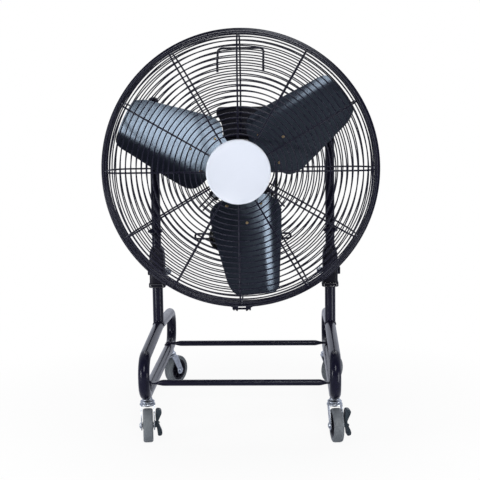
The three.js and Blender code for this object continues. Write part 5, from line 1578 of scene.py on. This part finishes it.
KNOB_FACE = BOX_BACK - SEAT


def knob():
    """Speed knob: a skirt with a bar grip across it."""
    face = KNOB_FACE
    skirt = turned([(0, face - 0.006), (KNOB_R - 0.0030, face - 0.006), (KNOB_R - 0.0010, face - 0.0050),
                    (KNOB_R, face - 0.0034), (KNOB_R, face), (0, face)], 64)
    grip = rounded_box_outline(-0.0035, 0.0035, -0.0145, 0.0145, 0.0032)
    return skirt.join(prism(grip, face - 0.015, face - 0.004))


def knob_line():
    return block(-0.0006, 0.0006, 0.0040, 0.0138, KNOB_FACE - 0.0152, KNOB_FACE - 0.0146)


def dial_ticks():
    """One tick on the box for each of the knob's four positions."""
    shape = Shape()
    for angle in (0, 45, 90, 135):
        tick = block(-0.0006, 0.0006, 0.0180, 0.0215, BOX_BACK - 0.0002, BOX_BACK + 0.0004)
        shape.join(tick, at(BOX_X, KNOB_Y, 0) @ Matrix.Rotation(math.radians(-angle), 4, "Z"))
    return shape


def box_bracket():
    """Moulded foot of the box that bridges down to the motor shell."""
    low, high = -0.045, 0.020
    top = BOX_Y - BOX_H / 2 + 0.004
    steps = 14
    outline = [(high, top), (low, top)]
    for k in range(steps + 1):
        x = low + (high - low) * k / steps
        outline.append((x, math.sqrt((MOTOR_R + SEAT) ** 2 - x * x)))
    return prism(outline, -0.0955, GUARD_BACK - SEAT)


dial = FAN @ at(BOX_X, KNOB_Y, 0)
piece("box_bracket", box_bracket(), "head", PLASTIC, place=FAN, bevel=0.0008)
piece("switch_case", switch_box(), "head", PLASTIC, ["switch_box"], FAN, bevel=0.0016)
outlet = FAN @ at(BOX_X + BOX_W / 2, GLAND_Y, LEAD_DEPTH) @ AIM_X
piece("lead_gland", gland(), "head", JACKET, place=outlet)
piece("speed_knob", knob(), "knob", PLASTIC, ["switch_knob"], dial, bevel=0.0006)
piece("knob_line", knob_line(), "knob", MARKING, place=dial)
piece("dial_ticks", dial_ticks(), "head", MARKING, place=FAN)
case_corners = [(-0.052, 0.131), (0.018, 0.131), (-0.034, 0.077), (0.001, 0.077)]
case_screws = [((x, y, BOX_BACK), (0, 0, -1)) for x, y in case_corners]
piece("case_screws", scattered("case_screws", screw, case_screws, ZINC), "head", ZINC, place=FAN)

# ---------------------------------------------------------------- stage and light


FLOOR_HALF = 12.0
SHADOW_R, WHITE_R = 0.35, 0.85            # the floor turns from shaded to white between these
SHADED_WHITE = 0.92
ROOM_SHADE = 0.12                         # strength of the world where it is not white
FLOOR_IN_GLOSS, ROOM_IN_GLOSS = rgb(0.80, 0.84, 1.0), rgb(0.84, 0.88, 1.0)
WHITE = rgb(1, 1, 1)


def camera_sees(n):
    """1 for camera, glossy and transmission rays, otherwise 0."""
    path = n.add("ShaderNodeLightPath").outputs
    seen = n.math("MAXIMUM", path["Is Camera Ray"], path["Is Glossy Ray"])
    return n.math("MAXIMUM", seen, path["Is Transmission Ray"])


def make_floor():
    """Pale floor, whiter away from the object; in gloss it glows less, and not at all far in front."""
    corners = [(x * FLOOR_HALF, y * FLOOR_HALF, 0) for x, y in ((-1, -1), (1, -1), (1, 1), (-1, 1))]
    mesh = bpy.data.meshes.new("floor")
    mesh.from_pydata(corners, [], [[0, 1, 2, 3]])
    floor = new_object("floor", mesh)
    made, n, shader, place = new_material("pale_floor")
    mottle = n.mix(n.noise(place, scale=3.0), rgb(0.88, 0.88, 0.88), rgb(0.90, 0.90, 0.90))
    n.feed(shader.inputs["Base Color"], mottle)
    shader.inputs["Roughness"].default_value = 0.9
    shader.inputs["Specular IOR Level"].default_value = 0.1
    glow = n.add("ShaderNodeEmission")
    blend = n.add("ShaderNodeMixShader")
    reach = n.add("ShaderNodeVectorMath", "LENGTH")
    n.feed(reach.inputs[0], place)
    whiten = n.spread(reach.outputs["Value"], SHADOW_R, WHITE_R, SHADED_WHITE, 1.0)
    across = n.add("ShaderNodeSeparateXYZ")
    n.feed(across.inputs[0], place)
    straight = n.add("ShaderNodeLightPath").outputs["Is Camera Ray"]
    behind = n.math("MAXIMUM", straight, n.spread(across.outputs["Y"], -1.2, -0.3, 0.0, 0.6))
    n.feed(glow.inputs["Color"], n.mix(straight, FLOOR_IN_GLOSS, WHITE))
    n.feed(blend.inputs[0], n.math("MULTIPLY", n.math("MULTIPLY", camera_sees(n), behind), whiten))
    n.tree.links.new(shader.outputs[0], blend.inputs[1])
    n.tree.links.new(glow.outputs[0], blend.inputs[2])
    n.tree.links.new(blend.outputs[0], n.tree.nodes["Material Output"].inputs["Surface"])
    mesh.materials.append(made)


def make_world():
    """White for the camera; in gloss white behind the object and dim before it; dim as a light."""
    world = bpy.data.worlds.new("studio")
    world.use_nodes = True
    bpy.context.scene.world = world
    n = Nodes(world.node_tree)
    backdrop = world.node_tree.nodes["Background"]
    way = n.add("ShaderNodeSeparateXYZ")
    n.feed(way.inputs[0], n.add("ShaderNodeTexCoord").outputs["Generated"])
    behind = n.spread(way.outputs["Y"], -0.35, 0.35)
    straight = n.add("ShaderNodeLightPath").outputs["Is Camera Ray"]
    white = n.math("MULTIPLY", camera_sees(n), n.math("MAXIMUM", straight, behind))
    n.feed(backdrop.inputs["Strength"], n.spread(white, 0.0, 1.0, ROOM_SHADE, 1.0))
    n.feed(backdrop.inputs["Color"], n.mix(straight, ROOM_IN_GLOSS, WHITE))


def add_softbox(name, place, aim, size, radiance):
    """Flat lamp seen only by the object; its power follows from its size and brightness."""
    data = bpy.data.lights.new(name, "AREA")
    data.shape = "RECTANGLE"
    data.size, data.size_y = size
    data.energy = radiance * math.pi * size[0] * size[1]
    lamp = new_object(name, data)
    facing = Vector(aim) - Vector(place)
    lamp.matrix_world = Matrix.Translation(place) @ facing.to_track_quat("-Z", "Y").to_matrix().to_4x4()
    lamp.visible_camera = False


def make_studio():
    add_softbox("key_above_camera", place=(0.32, -2.70, 1.86), aim=(-0.10, -0.10, 0.65),
                size=(0.74, 1.04), radiance=17.3)
    add_softbox("strip_left", place=(-0.98, -0.86, 0.26), aim=(0.0, -0.10, 0.45),
                size=(0.34, 0.40), radiance=16.0)
    add_softbox("low_right", place=(0.70, -0.50, 0.02), aim=(0.13, -0.12, 0.75),
                size=(0.30, 0.55), radiance=9.0)
    add_softbox("top_back", place=(0.1, 1.5, 2.3), aim=(0.0, 0.0, 0.4), size=(2.2, 1.0), radiance=4.0)


bpy.context.scene.view_settings.view_transform = "Standard"
make_floor()
make_world()
make_studio()
